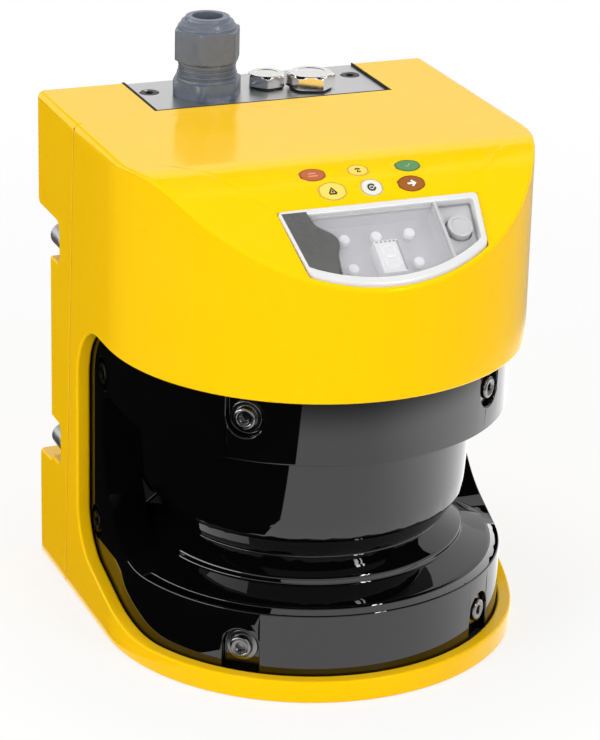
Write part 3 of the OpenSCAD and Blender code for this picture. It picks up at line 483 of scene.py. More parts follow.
def creases(g: Graph, given: Any) -> bpy.types.NodeSocket:
    """Two shallow creases that run from the hood's flat top to the display's upper corners.

    Height = -depth exp(-(d / w)^2), with d = 0.731 (60.6 - |x - 3.8|) + 0.682 (y + 25) in mm.
    """
    depth, width = 0.1, 0.8
    split = g.node("ShaderNodeSeparateXYZ", Vector=given["Vector"]).outputs
    x, y = (g.times(split[axis], 1 / MM) for axis in "XY")
    off = g.maths("SUBTRACT", 60.6, g.maths("ABSOLUTE", g.maths("SUBTRACT", x, 3.8)))
    d = g.maths("ADD", g.times(off, 0.731), g.times(g.maths("ADD", y, 25.0), 0.682))
    d = g.maths("DIVIDE", d, width)
    bell = g.maths("EXPONENT", g.times(d, d, -1.0))
    along = g.times(g.ramp(y, -51.0, -46.0), g.ramp(y, -26.0, -12.0, 1.0, 0.0))
    return g.times(bell, along, g.ramp(split["Z"], 0.15, 0.16), -depth * MM)


# Each shared effect: how it is made, its result, and its inputs beside the point it is read at.
EFFECTS: dict[str, tuple[Callable[[Graph, Any], bpy.types.NodeSocket], str, dict[str, float]]] = {
    "mottle": (mottle, "Mask", {"Scale": 20.0, "Contrast": 2.0}),
    "skin": (skin, "Height", {"Peel Scale": 300.0, "Peel": 0.0, "Grain Scale": 2500.0,
                              "Grain": 0.0}),
    "dust": (dust, "Mask", {"Amount": 0.1}),
    "creases": (creases, "Height", {}),
}


def effect_group(name: str) -> bpy.types.NodeTree:
    """The node group of an effect that several finishes share, built once.

    Args:
        name: Its name in EFFECTS.

    Returns:
        The group.
    """
    known = bpy.data.node_groups.get(name)
    if known:
        return known
    make, result, levels = EFFECTS[name]
    group = bpy.data.node_groups.new(name, "ShaderNodeTree")
    add, value = group.interface.new_socket, "NodeSocketFloat"
    add(name="Vector", in_out="INPUT", socket_type="NodeSocketVector")
    for label, level in levels.items():
        add(name=label, in_out="INPUT", socket_type=value).default_value = level
    add(name=result, in_out="OUTPUT", socket_type=value)
    g = Graph(group)
    g.feed(g.node("NodeGroupOutput"), result, make(g, g.node("NodeGroupInput").outputs))
    return group


class Relief(Enum):
    """Patterns that a finish may carry on top of its skin."""

    NONE = "none"
    BRUSHED = "brushed"
    TURNED = "turned"
    WINDING = "winding"
    TRACES = "traces"
    CREASES = "creases"


@dataclass(frozen=True)
class Finish:
    """A procedural finish: two close colours, a roughness that varies, and a relief.

    Lengths of the relief are in millimetres; scales are in waves for each metre.
    """

    name: str
    colour: Colour
    second: Colour
    roughness: tuple[float, float]
    metallic: float = 0.0
    mottle_scale: float = 25.0
    peel: float = 0.0
    peel_scale: float = 350.0
    grain: float = 0.004
    grain_scale: float = 2600.0
    coat: float = 0.0
    coat_roughness: float = 0.05
    transmission: float = 0.0
    ior: float = 1.5
    tint: Colour = (1.0, 1.0, 1.0)
    dust: float = 0.0
    relief: Relief = Relief.NONE

    def build(self) -> bpy.types.Material:
        """The finish as a material, made once.

        Returns:
            The material.
        """
        known = bpy.data.materials.get(self.name + "_finish")
        if known:
            return known
        material = bpy.data.materials.new(self.name + "_finish")
        material.diffuse_color = (*self.colour, 1.0)
        g = emptied(material)
        where = g.where()
        mask = g.effect("mottle", Vector=where, Scale=self.mottle_scale, Contrast=2.4)
        lying = g.effect("dust", Vector=where, Amount=self.dust)
        height = g.effect("skin", Vector=where, Peel_Scale=self.peel_scale, Peel=self.peel * MM,
                          Grain_Scale=self.grain_scale, Grain=self.grain * MM)
        colour = g.mix(mask, self.colour, self.second)
        rough = g.ramp(mask, 0.0, 1.0, *self.roughness)
        colour, height, rough = self.pattern(g, where, colour, height, rough)
        bump = g.node("ShaderNodeBump", Strength=1.0, Distance=1.0, Height=height)
        shader = g.node("ShaderNodeBsdfPrincipled", Base_Color=g.mix(lying, colour, DUST_COLOUR),
                        Roughness=g.maths("MULTIPLY_ADD", lying, 0.4, rough),
                        Normal=bump.outputs["Normal"], Metallic=self.metallic, IOR=self.ior,
                        Coat_Weight=self.coat, Coat_Roughness=self.coat_roughness,
                        Transmission_Weight=self.transmission, Specular_Tint=(*self.tint, 1.0))
        g.node("ShaderNodeOutputMaterial", Surface=shader.outputs["BSDF"])
        return material

    def pattern(self, g: Graph, where: bpy.types.NodeSocket, colour: bpy.types.NodeSocket,
                height: bpy.types.NodeSocket, rough: bpy.types.NodeSocket) -> tuple[Any, Any, Any]:
        """Adds the finish's own pattern.

        Args:
            g: The material's graph.
            where: Object coordinates.
            colour: Colour so far.
            height: Relief so far, in metres.
            rough: Roughness so far.

        Returns:
            Colour, relief and roughness with the pattern in them.
        """
        if self.relief is Relief.BRUSHED:
            drawn = g.node("ShaderNodeMapping", Vector=where, Scale=(60.0, 3000.0, 3000.0))
            lines = g.noise(drawn.outputs[0], 1.0, 4.0, 0.7)
            height = g.maths("MULTIPLY_ADD", lines, 0.002 * MM, height)
            rough = g.maths("MULTIPLY_ADD", lines, 0.12, rough)
        elif self.relief is Relief.TURNED:
            rings = g.node("ShaderNodeTexWave", {"wave_type": "RINGS", "rings_direction": "Z"},
                           Vector=where, Scale=900.0, Distortion=0.4).outputs["Fac"]
            height = g.maths("MULTIPLY_ADD", rings, 0.0015 * MM, height)
            rough = g.maths("MULTIPLY_ADD", rings, 0.06, rough)
        elif self.relief is Relief.WINDING:
            wires = g.node("ShaderNodeTexWave", {"bands_direction": "Z"}, Vector=where, Scale=320.0,
                           Distortion=0.3).outputs["Fac"]
            height = g.maths("MULTIPLY_ADD", wires, 0.25 * MM, height)
            # Painted shade: the copper darkens in the grooves between the wires.
            colour = g.mix(g.ramp(wires, 0.0, 0.35), (0.12, 0.03, 0.01), colour)
        elif self.relief is Relief.TRACES:
            cells = g.node("ShaderNodeTexBrick", Vector=where, Scale=180.0)
            lines = g.ramp(g.noise(where, 240.0, 1.0), 0.47, 0.5)
            height = g.maths("MULTIPLY_ADD", cells.outputs["Fac"], 0.03 * MM, height)
            colour = g.mix(lines, colour, tuple(c * 1.7 for c in self.colour))
        elif self.relief is Relief.CREASES:
            height = g.maths("ADD", height, g.effect("creases", Vector=where))
        return colour, height, rough


def enamel(name: str, colour: Colour, second: Colour, rough: float = 0.3) -> Finish:
    """A smooth printed or moulded colour; its roughness spans 0.1."""
    return Finish(name, colour, second, (rough, rough + 0.1), grain=0.002)


def turned(name: str, colour: Colour, second: Colour, roughness: tuple[float, float],
           grain: float = 0.002) -> Finish:
    """A turned metal."""
    return Finish(name, colour, second, roughness, metallic=1.0, grain=grain, relief=Relief.TURNED)


DUST_COLOUR = (0.6, 0.58, 0.54)
FINISHES = {f.name: f for f in (
    Finish("yellow_paint", (0.91, 0.53, 0.002), (0.94, 0.555, 0.004), (0.11, 0.17), peel=0.012,
           peel_scale=260.0, grain=0.0008, ior=1.38, tint=(0.9, 0.5, 0.0), dust=0.01,
           relief=Relief.CREASES),
    Finish("seam_shade", (0.44, 0.20, 0.003), (0.48, 0.22, 0.005), (0.5, 0.6)),
    Finish("black_cover", (0.001, 0.001, 0.0012), (0.0018, 0.0018, 0.0022), (0.015, 0.04),
           peel=0.002, peel_scale=120.0, grain=0.0002, ior=1.62),
    Finish("dark_polyamide", (0.108, 0.128, 0.165), (0.128, 0.148, 0.188), (0.22, 0.32), ior=1.45,
           grain=0.006, grain_scale=1800.0),
    Finish("grey_plate", (0.64, 0.64, 0.645), (0.70, 0.70, 0.705), (0.2, 0.3), metallic=1.0,
           grain=0.002, relief=Relief.BRUSHED),
    Finish("black_steel", (0.03, 0.03, 0.032), (0.05, 0.05, 0.052), (0.3, 0.42), metallic=0.8,
           grain=0.003),
    Finish("rubber", (0.012, 0.012, 0.013), (0.02, 0.02, 0.021), (0.6, 0.75), grain=0.01,
           grain_scale=1500.0),
    Finish("insert_plastic", (0.095, 0.095, 0.093), (0.115, 0.115, 0.112), (0.25, 0.35),
           grain=0.006),
    Finish("grey_tray", (0.27, 0.265, 0.285), (0.31, 0.305, 0.325), (0.4, 0.5)),
    Finish("led_lens", (0.72, 0.72, 0.74), (0.78, 0.78, 0.80), (0.12, 0.2), grain=0.001, coat=0.4),
    Finish("circuit_board", (0.02, 0.13, 0.05), (0.03, 0.17, 0.06), (0.25, 0.35), grain=0.002,
           relief=Relief.TRACES),
    Finish("copper_winding", (0.62, 0.24, 0.10), (0.72, 0.30, 0.13), (0.22, 0.35), metallic=1.0,
           relief=Relief.WINDING),
    Finish("magnet", (0.10, 0.10, 0.105), (0.14, 0.14, 0.145), (0.4, 0.55), metallic=0.6,
           grain=0.008, grain_scale=1200.0),
    Finish("mirror_glass", (0.88, 0.90, 0.92), (0.92, 0.93, 0.95), (0.01, 0.03), metallic=1.0,
           grain=0.0),
    Finish("black_plastic", (0.02, 0.02, 0.021), (0.03, 0.03, 0.032), (0.35, 0.5), grain=0.006,
           grain_scale=1600.0),
    Finish("lens_glass", (0.93, 0.95, 0.97), (0.96, 0.97, 0.99), (0.01, 0.03), transmission=1.0,
           ior=1.52, grain=0.0),
    turned("nickel", (0.90, 0.885, 0.86), (0.94, 0.93, 0.91), (0.1, 0.18), 0.001),
    turned("steel", (0.58, 0.58, 0.59), (0.68, 0.68, 0.69), (0.25, 0.38)),
    turned("dark_steel", (0.17, 0.17, 0.172), (0.22, 0.22, 0.222), (0.14, 0.24)),
    turned("aluminium", (0.72, 0.73, 0.74), (0.80, 0.81, 0.82), (0.28, 0.42), 0.003),
    turned("brass", (0.62, 0.44, 0.16), (0.70, 0.51, 0.20), (0.2, 0.32), 0.004),
    enamel("white_plastic", (0.64, 0.64, 0.635), (0.68, 0.68, 0.675), 0.2),
    enamel("rib_plastic", (0.46, 0.455, 0.47), (0.50, 0.495, 0.51), 0.25),
    enamel("symbol_red", (0.42, 0.10, 0.03), (0.47, 0.13, 0.04)),
    enamel("symbol_green", (0.09, 0.23, 0.08), (0.11, 0.27, 0.10)),
    enamel("symbol_yellow", (0.84, 0.58, 0.08), (0.88, 0.63, 0.12)),
    enamel("symbol_white", (0.66, 0.65, 0.55), (0.72, 0.71, 0.61)),
    enamel("symbol_orange", (0.27, 0.08, 0.006), (0.32, 0.10, 0.01)),
    enamel("rim_red", (0.20, 0.05, 0.01), (0.24, 0.06, 0.014)),
    enamel("rim_green", (0.05, 0.13, 0.03), (0.06, 0.16, 0.04)),
    enamel("rim_yellow", (0.42, 0.24, 0.02), (0.48, 0.28, 0.03)),
    enamel("rim_white", (0.30, 0.29, 0.20), (0.36, 0.35, 0.25)),
    enamel("rim_orange", (0.16, 0.045, 0.004), (0.19, 0.055, 0.006)),
    enamel("mark_pink", (0.62, 0.27, 0.15), (0.68, 0.31, 0.18), 0.35),
    enamel("mark_green", (0.22, 0.38, 0.20), (0.26, 0.43, 0.24), 0.35),
    enamel("mark_dark", (0.02, 0.02, 0.02), (0.035, 0.035, 0.035), 0.35),
    enamel("mark_light", (0.82, 0.80, 0.76), (0.88, 0.86, 0.82), 0.35),
)}


def window_material() -> bpy.types.Material:
    """Clear pane over the display: mostly see-through, with a gloss that grows at flat angles."""
    material = bpy.data.materials.new("clear_window_finish")
    g = emptied(material)
    haze = g.effect("mottle", Vector=g.where(), Scale=60.0, Contrast=2.0)
    shader = g.node("ShaderNodeBsdfPrincipled", Base_Color=(0.90, 0.90, 0.93, 1.0),
                    Roughness=g.ramp(haze, 0.0, 1.0, 0.02, 0.07), IOR=1.45,
                    Alpha=g.ramp(haze, 0.0, 1.0, 0.20, 0.25))
    g.node("ShaderNodeOutputMaterial", Surface=shader.outputs["BSDF"])
    return material


# ---- panel ----------------------------------------------------------------------------------


@dataclass(frozen=True)
class Panel:
    """The sloping display panel and the blend above it; s runs down the slope, n out of it."""

    top_y: float
    top_z: float
    angle: float
    blend_r: float = 38.0
    slack: float = 0.15

    @property
    def blend_len(self) -> float:
        """Length from the panel's upper corner line to where its blend ends."""
        return self.blend_r * math.tan(math.radians(self.angle) / 2)

    def axes(self) -> tuple[tuple[float, float, float], ...]:
        """Unit directions across the panel, up its slope and out of it."""
        c, w = math.cos(math.radians(self.angle)), math.sin(math.radians(self.angle))
        return (1.0, 0.0, 0.0), (0.0, c, w), (0.0, -w, c)

    def at(self, x: Any, s: Any, n: Any) -> Array:
        """Points at x, a distance s down the slope and n out of it."""
        return Place((0.0, self.top_y, self.top_z), *self.axes()).carry(x, -np.asarray(s, float), n)

    def place(self, x: float, s: float, n: float = 0.0) -> Place:
        """A place on the panel whose out direction leaves it."""
        return Place(tuple(self.at(x, s, n)), *self.axes())

    def skin(self, x: Any, s: Any, n: Any) -> Array:
        """Points at height n over the blended skin.

        Above the blend's end the skin is an arc: with f = (blend_len - s) / blend_r, the point lies
        at s = blend_len - (blend_r + n) sin f and n = (blend_r + n) cos f - blend_r.
        """
        x, s, n = np.broadcast_arrays(*(np.asarray(v, float) for v in (x, s, n)))
        f = np.maximum(self.blend_len - s, 0) / self.blend_r
        on_arc = f > 0
        s2 = np.where(on_arc, self.blend_len - (self.blend_r + n) * np.sin(f), s)
        n2 = np.where(on_arc, (self.blend_r + n) * np.cos(f) - self.blend_r, n)
        return self.at(x, s2, n2)

    def refine(self, shape: bmesh.types.BMesh, cuts: int = 14, step: float = 6.0) -> None:
        """Divides the blend's facets evenly and sets their corners on the true cylinder.

        With p the point's place from the cylinder's axis across x, a corner moves to
        axis + blend_r p / |p| when |p| is already within the slack of blend_r.

        Args:
            shape: Mesh in metres that holds the blend.
            cuts: Divisions round the blend.
            step: Distance between its divisions across, in millimetres.
        """
        axis = self.at(0.0, self.blend_len, -self.blend_r)

        def on_blend(vertex: bmesh.types.BMVert) -> bool:
            """Whether a corner lies on the blend's cylinder."""
            y, z = vertex.co.y / MM - axis[1], vertex.co.z / MM - axis[2]
            turn = math.degrees(math.atan2(-y, z))
            near = abs(math.hypot(y, z) - self.blend_r) < self.slack
            return near and -0.2 < turn < self.angle + 0.2

        def on_it(reach: float) -> list[bmesh.types.BMFace]:
            """The blend's faces within a distance of the middle, in millimetres."""
            return [f for f in shape.faces
                    if all(on_blend(v) and abs(v.co.x) < reach * MM for v in f.verts)]

        wide = 10 * step
        upright = [((x, 0.0, 0.0), (1.0, 0.0, 0.0)) for x in np.arange(-wide, wide + 0.1, step)]
        round_it = [((0.0, axis[1], axis[2]), (0.0, math.cos(t), math.sin(t)))
                    for t in np.radians(np.linspace(0, self.angle, cuts + 1)[1:-1])]
        for planes, reach in ((upright, 1000.0), (round_it, wide + 0.01)):
            for point, normal in planes:
                faces = on_it(reach)
                around = {e for f in faces for e in f.edges} | {v for f in faces for v in f.verts}
                bmesh.ops.bisect_plane(shape, geom=[*faces, *around], dist=SAME_POINT / 10,
                                       plane_co=Vector(point) * MM, plane_no=normal)
        for vertex in {v for f in on_it(wide + 0.01) for v in f.verts}:
            y, z = vertex.co.y / MM - axis[1], vertex.co.z / MM - axis[2]
            scale = self.blend_r / math.hypot(y, z)
            vertex.co.y, vertex.co.z = (axis[1] + y * scale) * MM, (axis[2] + z * scale) * MM


# ---- castings -------------------------------------------------------------------------------


@dataclass(frozen=True)
class FineZone:
    """A box in millimetres, within reach of an axis, where edges get a share of their radius."""

    low: tuple[float, float, float]
    high: tuple[float, float, float]
    share: float
    axis_y: float = 0.0
    reach: float = 1000.0

    def holds(self, points: Array) -> Array:
        """Whether each point lies in the zone."""
        near = np.hypot(points[:, 0], points[:, 1] - self.axis_y) < self.reach
        return ((points > self.low) & (points < self.high)).all(axis=1) & near


@dataclass(frozen=True)
class Rim:
    """Upper edge of a round wall, where corners that all but touch are merged."""

    axis_y: float
    radius: float
    low: float
    slack: float = 0.2
    merge: float = 0.3

    def on_rim(self, x: float, y: float, z: float) -> bool:
        """Whether a corner lies on the wall, above its lowest place."""
        return z > self.low and abs(math.hypot(x, y - self.axis_y) - self.radius) < self.slack


def read_all(items: Any, key: str, size: int, kind: type = float) -> Array:
    """One attribute of all of a mesh's items, as rows of size numbers."""
    values = np.empty(len(items) * size, kind)
    items.foreach_get(key, values)
    return values.reshape(-1, size)


@dataclass(frozen=True)
class Casting:
    """A carried-over solid whose edges are rounded as a casting's or a moulding's are."""

    node: str
    finish_name: str
    edge_mm: float
    flat_deg: float = 0.05
    sharp_deg: float = 28.0
    segments: int = 3
    zones: tuple[FineZone, ...] = ()
    blend: Panel | None = None
    rim: Rim | None = None

    def build(self, nodes: dict[str, bpy.types.Object]) -> bpy.types.Object:
        """Copies the solid, merges and clears its mesh, and rounds its edges.

        Args:
            nodes: The frame's CAD objects by name.

        Returns:
            The object that stands for the node.
        """
        source = nodes[self.node]
        mesh = source.data.copy()
        mesh.name = self.node + "_soft"
        shape = bmesh.new()
        shape.from_mesh(mesh)
        bmesh.ops.remove_doubles(shape, verts=shape.verts, dist=2 * SAME_POINT)
        bmesh.ops.dissolve_limit(shape, angle_limit=math.radians(self.flat_deg), verts=shape.verts,
                                 edges=shape.edges)
        if self.rim:
            rim = [v for v in shape.verts if self.rim.on_rim(*(v.co / MM))]
            bmesh.ops.remove_doubles(shape, verts=rim, dist=self.rim.merge * MM)
        if self.blend:
            self.blend.refine(shape)
        shape.to_mesh(mesh)
        shape.free()
        mesh.materials.clear()
        mesh.materials.append(FINISHES[self.finish_name].build())
        mesh.polygons.foreach_set("material_index", np.zeros(len(mesh.polygons), np.int32))
        weights, sharp = self.edge_weights(mesh)
        held = mesh.attributes.new("bevel_weight_edge", "FLOAT", "EDGE")
        held.data.foreach_set("value", weights.astype(np.float32))
        key = "sharp_edge"
        crisp = mesh.attributes.get(key) or mesh.attributes.new(key, "BOOLEAN", "EDGE")
        crisp.data.foreach_set("value", sharp & (weights == 0))
        piece = settle(mesh.name, mesh, source["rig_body"], [self.node], 180.0)
        bevel = piece.modifiers.new("edges", "BEVEL")
        bevel.width = self.edge_mm * MM
        bevel.segments = self.segments
        bevel.limit_method = "WEIGHT"
        bevel.use_clamp_overlap = False
        bevel.harden_normals = True
        even = piece.modifiers.new("even", "WEIGHTED_NORMAL")
        even.weight = 50
        even.keep_sharp = True
        return piece

    def edge_weights(self, mesh: bpy.types.Mesh) -> tuple[Array, Array]:
        """Share of the edge radius that each edge gets: none on smooth edges, less in fine zones.

        Args:
            mesh: A closed mesh.

        Returns:
            One weight for each edge, and whether it is a real edge.
        """
        loops = read_all(mesh.loops, "edge_index", 1, np.int32).ravel()
        totals = read_all(mesh.polygons, "loop_total", 1, np.int32).ravel()
        normals = read_all(mesh.polygons, "normal", 3)
        ends = read_all(mesh.edges, "vertices", 2, np.int32)
        middle = read_all(mesh.vertices, "co", 3)[ends].mean(axis=1) / MM
        faces = np.repeat(np.arange(len(totals)), totals)[np.argsort(loops, kind="stable")]
        count = np.bincount(loops, minlength=len(mesh.edges))
        first = np.concatenate([[0], np.cumsum(count)[:-1]])
        two = count == 2
        turn = np.zeros(len(mesh.edges))
        dots = np.einsum("ij,ij->i", normals[faces[first[two]]], normals[faces[first[two] + 1]])
        turn[two] = np.degrees(np.arccos(np.clip(dots, -1, 1)))
        weights = np.where(turn > self.sharp_deg, 1.0, 0.0)
        for zone in self.zones:
            weights = np.where(zone.holds(middle), weights * zone.share, weights)
        return weights, turn > self.sharp_deg


@dataclass
class Seam:
    """The leaning joint between the sensor head and the rear module."""

    foot_y: float = 47.0
    top_y: float = 34.5
    half_w: float = 77.5
    height: float = 185.0
    line_w: float = 1.3
    gap: float = 0.4

    def y(self, z: float) -> float:
        """Where the joint stands at a height."""
        return self.foot_y + (self.top_y - self.foot_y) * z / self.height

    def zones(self) -> tuple[FineZone, ...]:
        """Smaller edge radius along the joint."""
        low, high, wide = self.top_y - 1.5, self.foot_y + 1.5, self.half_w + 1
        return (FineZone((-wide, low, -1), (wide, high, self.height + 1), 0.5),)

    def build(self) -> None:
        """A shaded line in the joint on both sides."""
        z0, z1 = 4.0, self.height - 1.6
        a, b = (np.array([0.0, self.y(z) - self.gap / 2, z]) for z in (z0, z1))
        across = (b - a) / np.linalg.norm(b - a)
        strips = []
        for side in (-1.0, 1.0):
            out = np.array([side, 0.0, 0.0])
            place = Place(tuple((a + b) / 2 + out * (self.half_w - 0.1)), tuple(across),
                          tuple(np.cross(out, across)), tuple(out))
            half_len = float(np.linalg.norm(b - a)) / 2
            strips.append(strip(place, half_len, self.line_w / 2, -1.5, 0.0, 0.1))
        make_piece("seam_lines", strips, ["seam_shade"], sharp=35.0)
        top = Place((0.0, self.y(self.height) - self.gap / 2, self.height - 0.02))
        cover = strip(top, self.half_w - 3.1, 0.72, -0.8, 0.0, 0.03)
        make_piece("seam_top", [cover], ["yellow_paint"], sharp=35.0)


# ---- display --------------------------------------------------------------------------------


@dataclass
class Display:
    """D-shaped display: bezel, side insert, digit, lamps, the shelf round the socket and the
    socket's cap; its pane and tray stay carried-over solids.
    """

    panel: Panel
    axis_y: float
    x: float = 3.8
    half_w: float = 37.0
    top_s: float = 18.3
    arc_r: float = 75.7
    low: float = -2.0
    proud: float = 0.8
    frame_w: float = 2.6
    divider_x: float = 23.4
    divider_w: float = 1.2
    tray_floor: float = -7.8
    insert_side: float = 1.2
    cap_x: float = 30.2
    cap_s: float = 31.5

    def arc_s(self, x: Any, inset: float, n: float) -> Array:
        """Distance down the panel where the upright arc of the lower edge stands at x."""
        c, w = math.cos(math.radians(self.panel.angle)), math.sin(math.radians(self.panel.angle))
        reach = np.sqrt((self.arc_r - inset) ** 2 - np.asarray(x, float) ** 2)
        return (self.panel.top_y - n * w - self.axis_y + reach) / c

    def side_x(self, s: Any, inset: float) -> Array:
        """Half width of the outline at a distance s down the panel."""
        top = self.top_s + inset
        return self.half_w - inset - np.interp(s, [top, top + 24, top + 40], [0.0, 3.5, 6.5])

    def low_corner(self, side: int, inset: float, n: float) -> tuple[float, float]:
        """Where the outline's side meets its lower arc, as (x, s)."""
        s = 42.0
        for _ in range(12):
            x = self.x + side * float(self.side_x(s, inset))
            s = float(self.arc_s(x, inset, n))
        return x, s

    def outline(self, inset: float, n: float, reach: int = 2) -> Array:
        """Closed D outline, moved in by inset, as rows of (x, s).

        Straight top, two sides that draw in, and the upright arc; its corners are softened by a
        running mean over reach neighbours.

        Args:
            inset: Distance inside the outer edge.
            n: Height over the panel, which moves the arc.
            reach: Neighbours taken into the mean.

        Returns:
            The outline as an (n, 2) array.
        """
        top = self.top_s + inset
        right, left = self.low_corner(1, inset, n), self.low_corner(-1, inset, n)
        t = np.linspace(0, 1, 90, endpoint=False)
        half = self.half_w - inset
        upper = np.stack([self.x - half + 2 * half * t, top + 0 * t], axis=1)
        t = np.linspace(0, 1, 32, endpoint=False)
        s = top + (right[1] - top) * t
        down = np.stack([self.x + self.side_x(s, inset), s], axis=1)
        x = np.linspace(right[0], left[0], 84, endpoint=False)
        lower = np.stack([x, self.arc_s(x, inset, n)], axis=1)
        s = left[1] + (top - left[1]) * t
        up = np.stack([self.x - self.side_x(s, inset), s], axis=1)
        return soften_loop(np.concatenate([upper, down, lower, up]), reach)

    def build(self) -> None:
        """Builds every piece of the display."""
        self.build_bezel()
        self.build_insert()
        self.build_digit()
        self.build_lamps()
        self.build_shelf()
        self.build_cap()

    def build_bezel(self) -> None:
        """White frame: the outline carried through an (inset, height) profile, and its bar."""
        profile = round_corners([(0, self.low), (0, self.proud), (self.frame_w - 0.2, self.proud),
                                 (self.frame_w, self.low)], (0, 0.5, 0.45, 0), 6)
        ring = np.stack([self.panel.at(*self.outline(float(inset), float(n)).T, n)
                         for inset, n in profile])
        bar_top = self.proud - 0.1
        bar_x, bar_n = round_corners([(0, self.low), (0, bar_top), (self.divider_w, bar_top),
                                      (self.divider_w, self.low)], (0, 0.35, 0.35, 0), 5).T
        s_low = float(self.arc_s(self.divider_x, self.frame_w, 0.0)) + 0.6
        s = np.linspace(self.top_s + 1.6, s_low, 12)[:, None]
        bar = self.panel.at(self.divider_x + bar_x, s, bar_n)
        surfaces = [Surface(ring, wrap_rows=True), Surface(bar, capped=True, finish=1)]
        make_piece("bezel_frame", surfaces, ["white_plastic", "rib_plastic"], ["display_bezel"])

    def build_insert(self) -> None:
        """Dark insert left of the pane, from over the frame's side to an S-shaped rolled edge.

        The edge is a smooth curve through its knots; each row's height is a closed profile.
        """
        knots = np.array([(20.9, -22.4), (24.0, -21.6), (26.6, -20.4), (28.2, -17.2),
                          (30.6, -15.0), (33.6, -14.6), (37.0, -16.4), (39.4, -17.0),
                          (42.4, -17.2), (46.0, -18.2)])
        inset, side, roll_r = self.frame_w + 0.06, self.insert_side, 0.9
        s = np.linspace(self.top_s + side, float(self.arc_s(-18.2, inset, 0.0)), 60)
        edge = np.interp(s, knots[:, 0], knots[:, 1])
        edge = np.convolve(np.pad(edge, 4, mode="edge"), np.ones(9) / 9, mode="valid")
        y = self.panel.top_y - self.axis_y - s * math.cos(math.radians(self.panel.angle))
        reach = np.sqrt(np.maximum((self.arc_r - inset) ** 2 - y**2, 0))
        left = np.maximum(self.x - self.side_x(s, side), -reach)
        top = self.proud + 0.06
        roll = np.linspace(0, math.pi / 2, 6)
        share = np.concatenate([[0, 0], np.linspace(0.1, 0.9, 6), np.ones(7)])
        back = np.concatenate([np.zeros(8), roll_r * (1 - np.sin(roll)), [0]])
        rolled = top - roll_r + roll_r * np.cos(roll)
        n = np.concatenate([[self.low], np.full(7, top), rolled, [self.low]])
        x = left[:, None] + (edge - left)[:, None] * share[None] - back[None]
        make_piece("side_insert", [Surface(self.panel.at(x, s[:, None], n), capped=True)],
                   ["insert_plastic"], ["display_side_insert"], sharp=50.0)

    def build_digit(self) -> None:
        """Digit block with seven slightly raised bars: each bar is a long hexagon."""
        mid_x, mid_s, w, h, top = 2.9, 38.6, 9.0, 13.5, -2.66
        box = [(-w / 2, -h / 2), (w / 2, -h / 2), (w / 2, h / 2), (-w / 2, h / 2)]
        outline = round_corners(box, (0.6,) * 4, 4)
        profile = np.array([(0.0, self.tray_floor), (0.0, -2.95), (0.12, -2.72), (0.3, top),
                            (0.5, top)])
        size = 1 - profile[:, :1] * 2 / h
        x, s = mid_x + size * outline[:, 0], mid_s + size * outline[:, 1]
        block = self.panel.at(x, s, profile[:, 1:2])
        bars = [self.digit_bar(mid_x + dx, mid_s + ds, upright) for dx, ds, upright in (
            (0, -4.4, False), (0, 0, False), (0, 4.4, False), (-2.3, -2.2, True), (2.3, -2.2, True),
            (-2.3, 2.2, True), (2.3, 2.2, True))]
        marks = [(dx, -6.0, 0.48, 0.36) for dx in np.linspace(-3.4, 3.0, 5)]
        strips = [strip(self.panel.place(mid_x + dx, mid_s + ds, top), half_len, half_w, -0.3, 0.06,
                        0.04, 2) for dx, ds, half_len, half_w in [*marks, (4.0, 0.1, 0.36, 6.2)]]
        make_piece("digit_block", [Surface(block, capped=True), *bars, *strips],
                   ["white_plastic", "led_lens", "mark_dark"], ["seven_segment_display"])

    def digit_bar(self, x: float, s: float, upright: bool) -> Surface:
        """One bar of the digit, 3.7 mm long, as a low hexagonal mound."""
        half, w = 1.85, 0.42
        along = np.array([-half, -half + w, half - w, half, half - w, -half + w])
        across = np.array([0, -w, -w, 0, w, w])
        a, b = (across, along) if upright else (along, across)
        size, n = np.array([[1.0], [1.0], [0.8]]), np.array([[-2.75], [-2.62], [-2.56]])
        return Surface(self.panel.at(x + size * a, s + size * b, n), capped=True, finish=1)

    def build_lamps(self) -> None:
        """Five domed lamps standing on the tray's floor."""
        dome = round_corners([(2.0, -5.4), (2.0, -3.6), (0.0, -3.6)], (0, 1.6, 0), 8, False)
        stem = np.array([(0.2, self.tray_floor), (1.7, self.tray_floor), (1.7, -5.3), (0.2, -5.3)])
        places = [self.panel.place(x, s) for x, s in (
            (-10.7, 29.0), (1.0, 29.0), (13.3, 29.0), (-11.2, 41.2), (13.0, 41.2))]
        lamps = turnings(places, dome, 32) + turnings(places, stem, 24, number=1)
        make_piece("status_lamps", lamps, ["led_lens", "grey_tray"], ["status_leds"])

    def build_shelf(self) -> None:
        """Plate round the cap: each ray from the cap's middle runs to the compartment's edge.

        The edge's distance is found by halving, between 5 and 30 mm.
        """
        inset, high, hole_r, count = self.frame_w - 0.3, self.low - 0.05, 4.9, 180
        turn = np.linspace(0, 2 * math.pi, count, endpoint=False)
        near, far = np.full(count, 5.0), np.full(count, 30.0)
        for _ in range(24):
            r = (near + far) / 2
            x, s = self.cap_x + r * np.cos(turn), self.cap_s + r * np.sin(turn)
            inside = x > self.divider_x + self.divider_w / 2
            inside &= x < self.x + self.side_x(s, inset)
            inside &= (s > self.top_s + inset) & (s < self.arc_s(x, inset, 0.0))
            near, far = np.where(inside, r, near), np.where(inside, far, r)
        r = np.stack([near, near, np.full(count, hole_r), np.full(count, hole_r)])
        n = np.array([high - 0.8, high, high, high - 0.8])[:, None]
        grid = self.panel.at(self.cap_x + r * np.cos(turn), self.cap_s + r * np.sin(turn), n)
        plate = Surface(grid, wrap_rows=True)
        make_piece("socket_shelf", [plate], ["rib_plastic"])

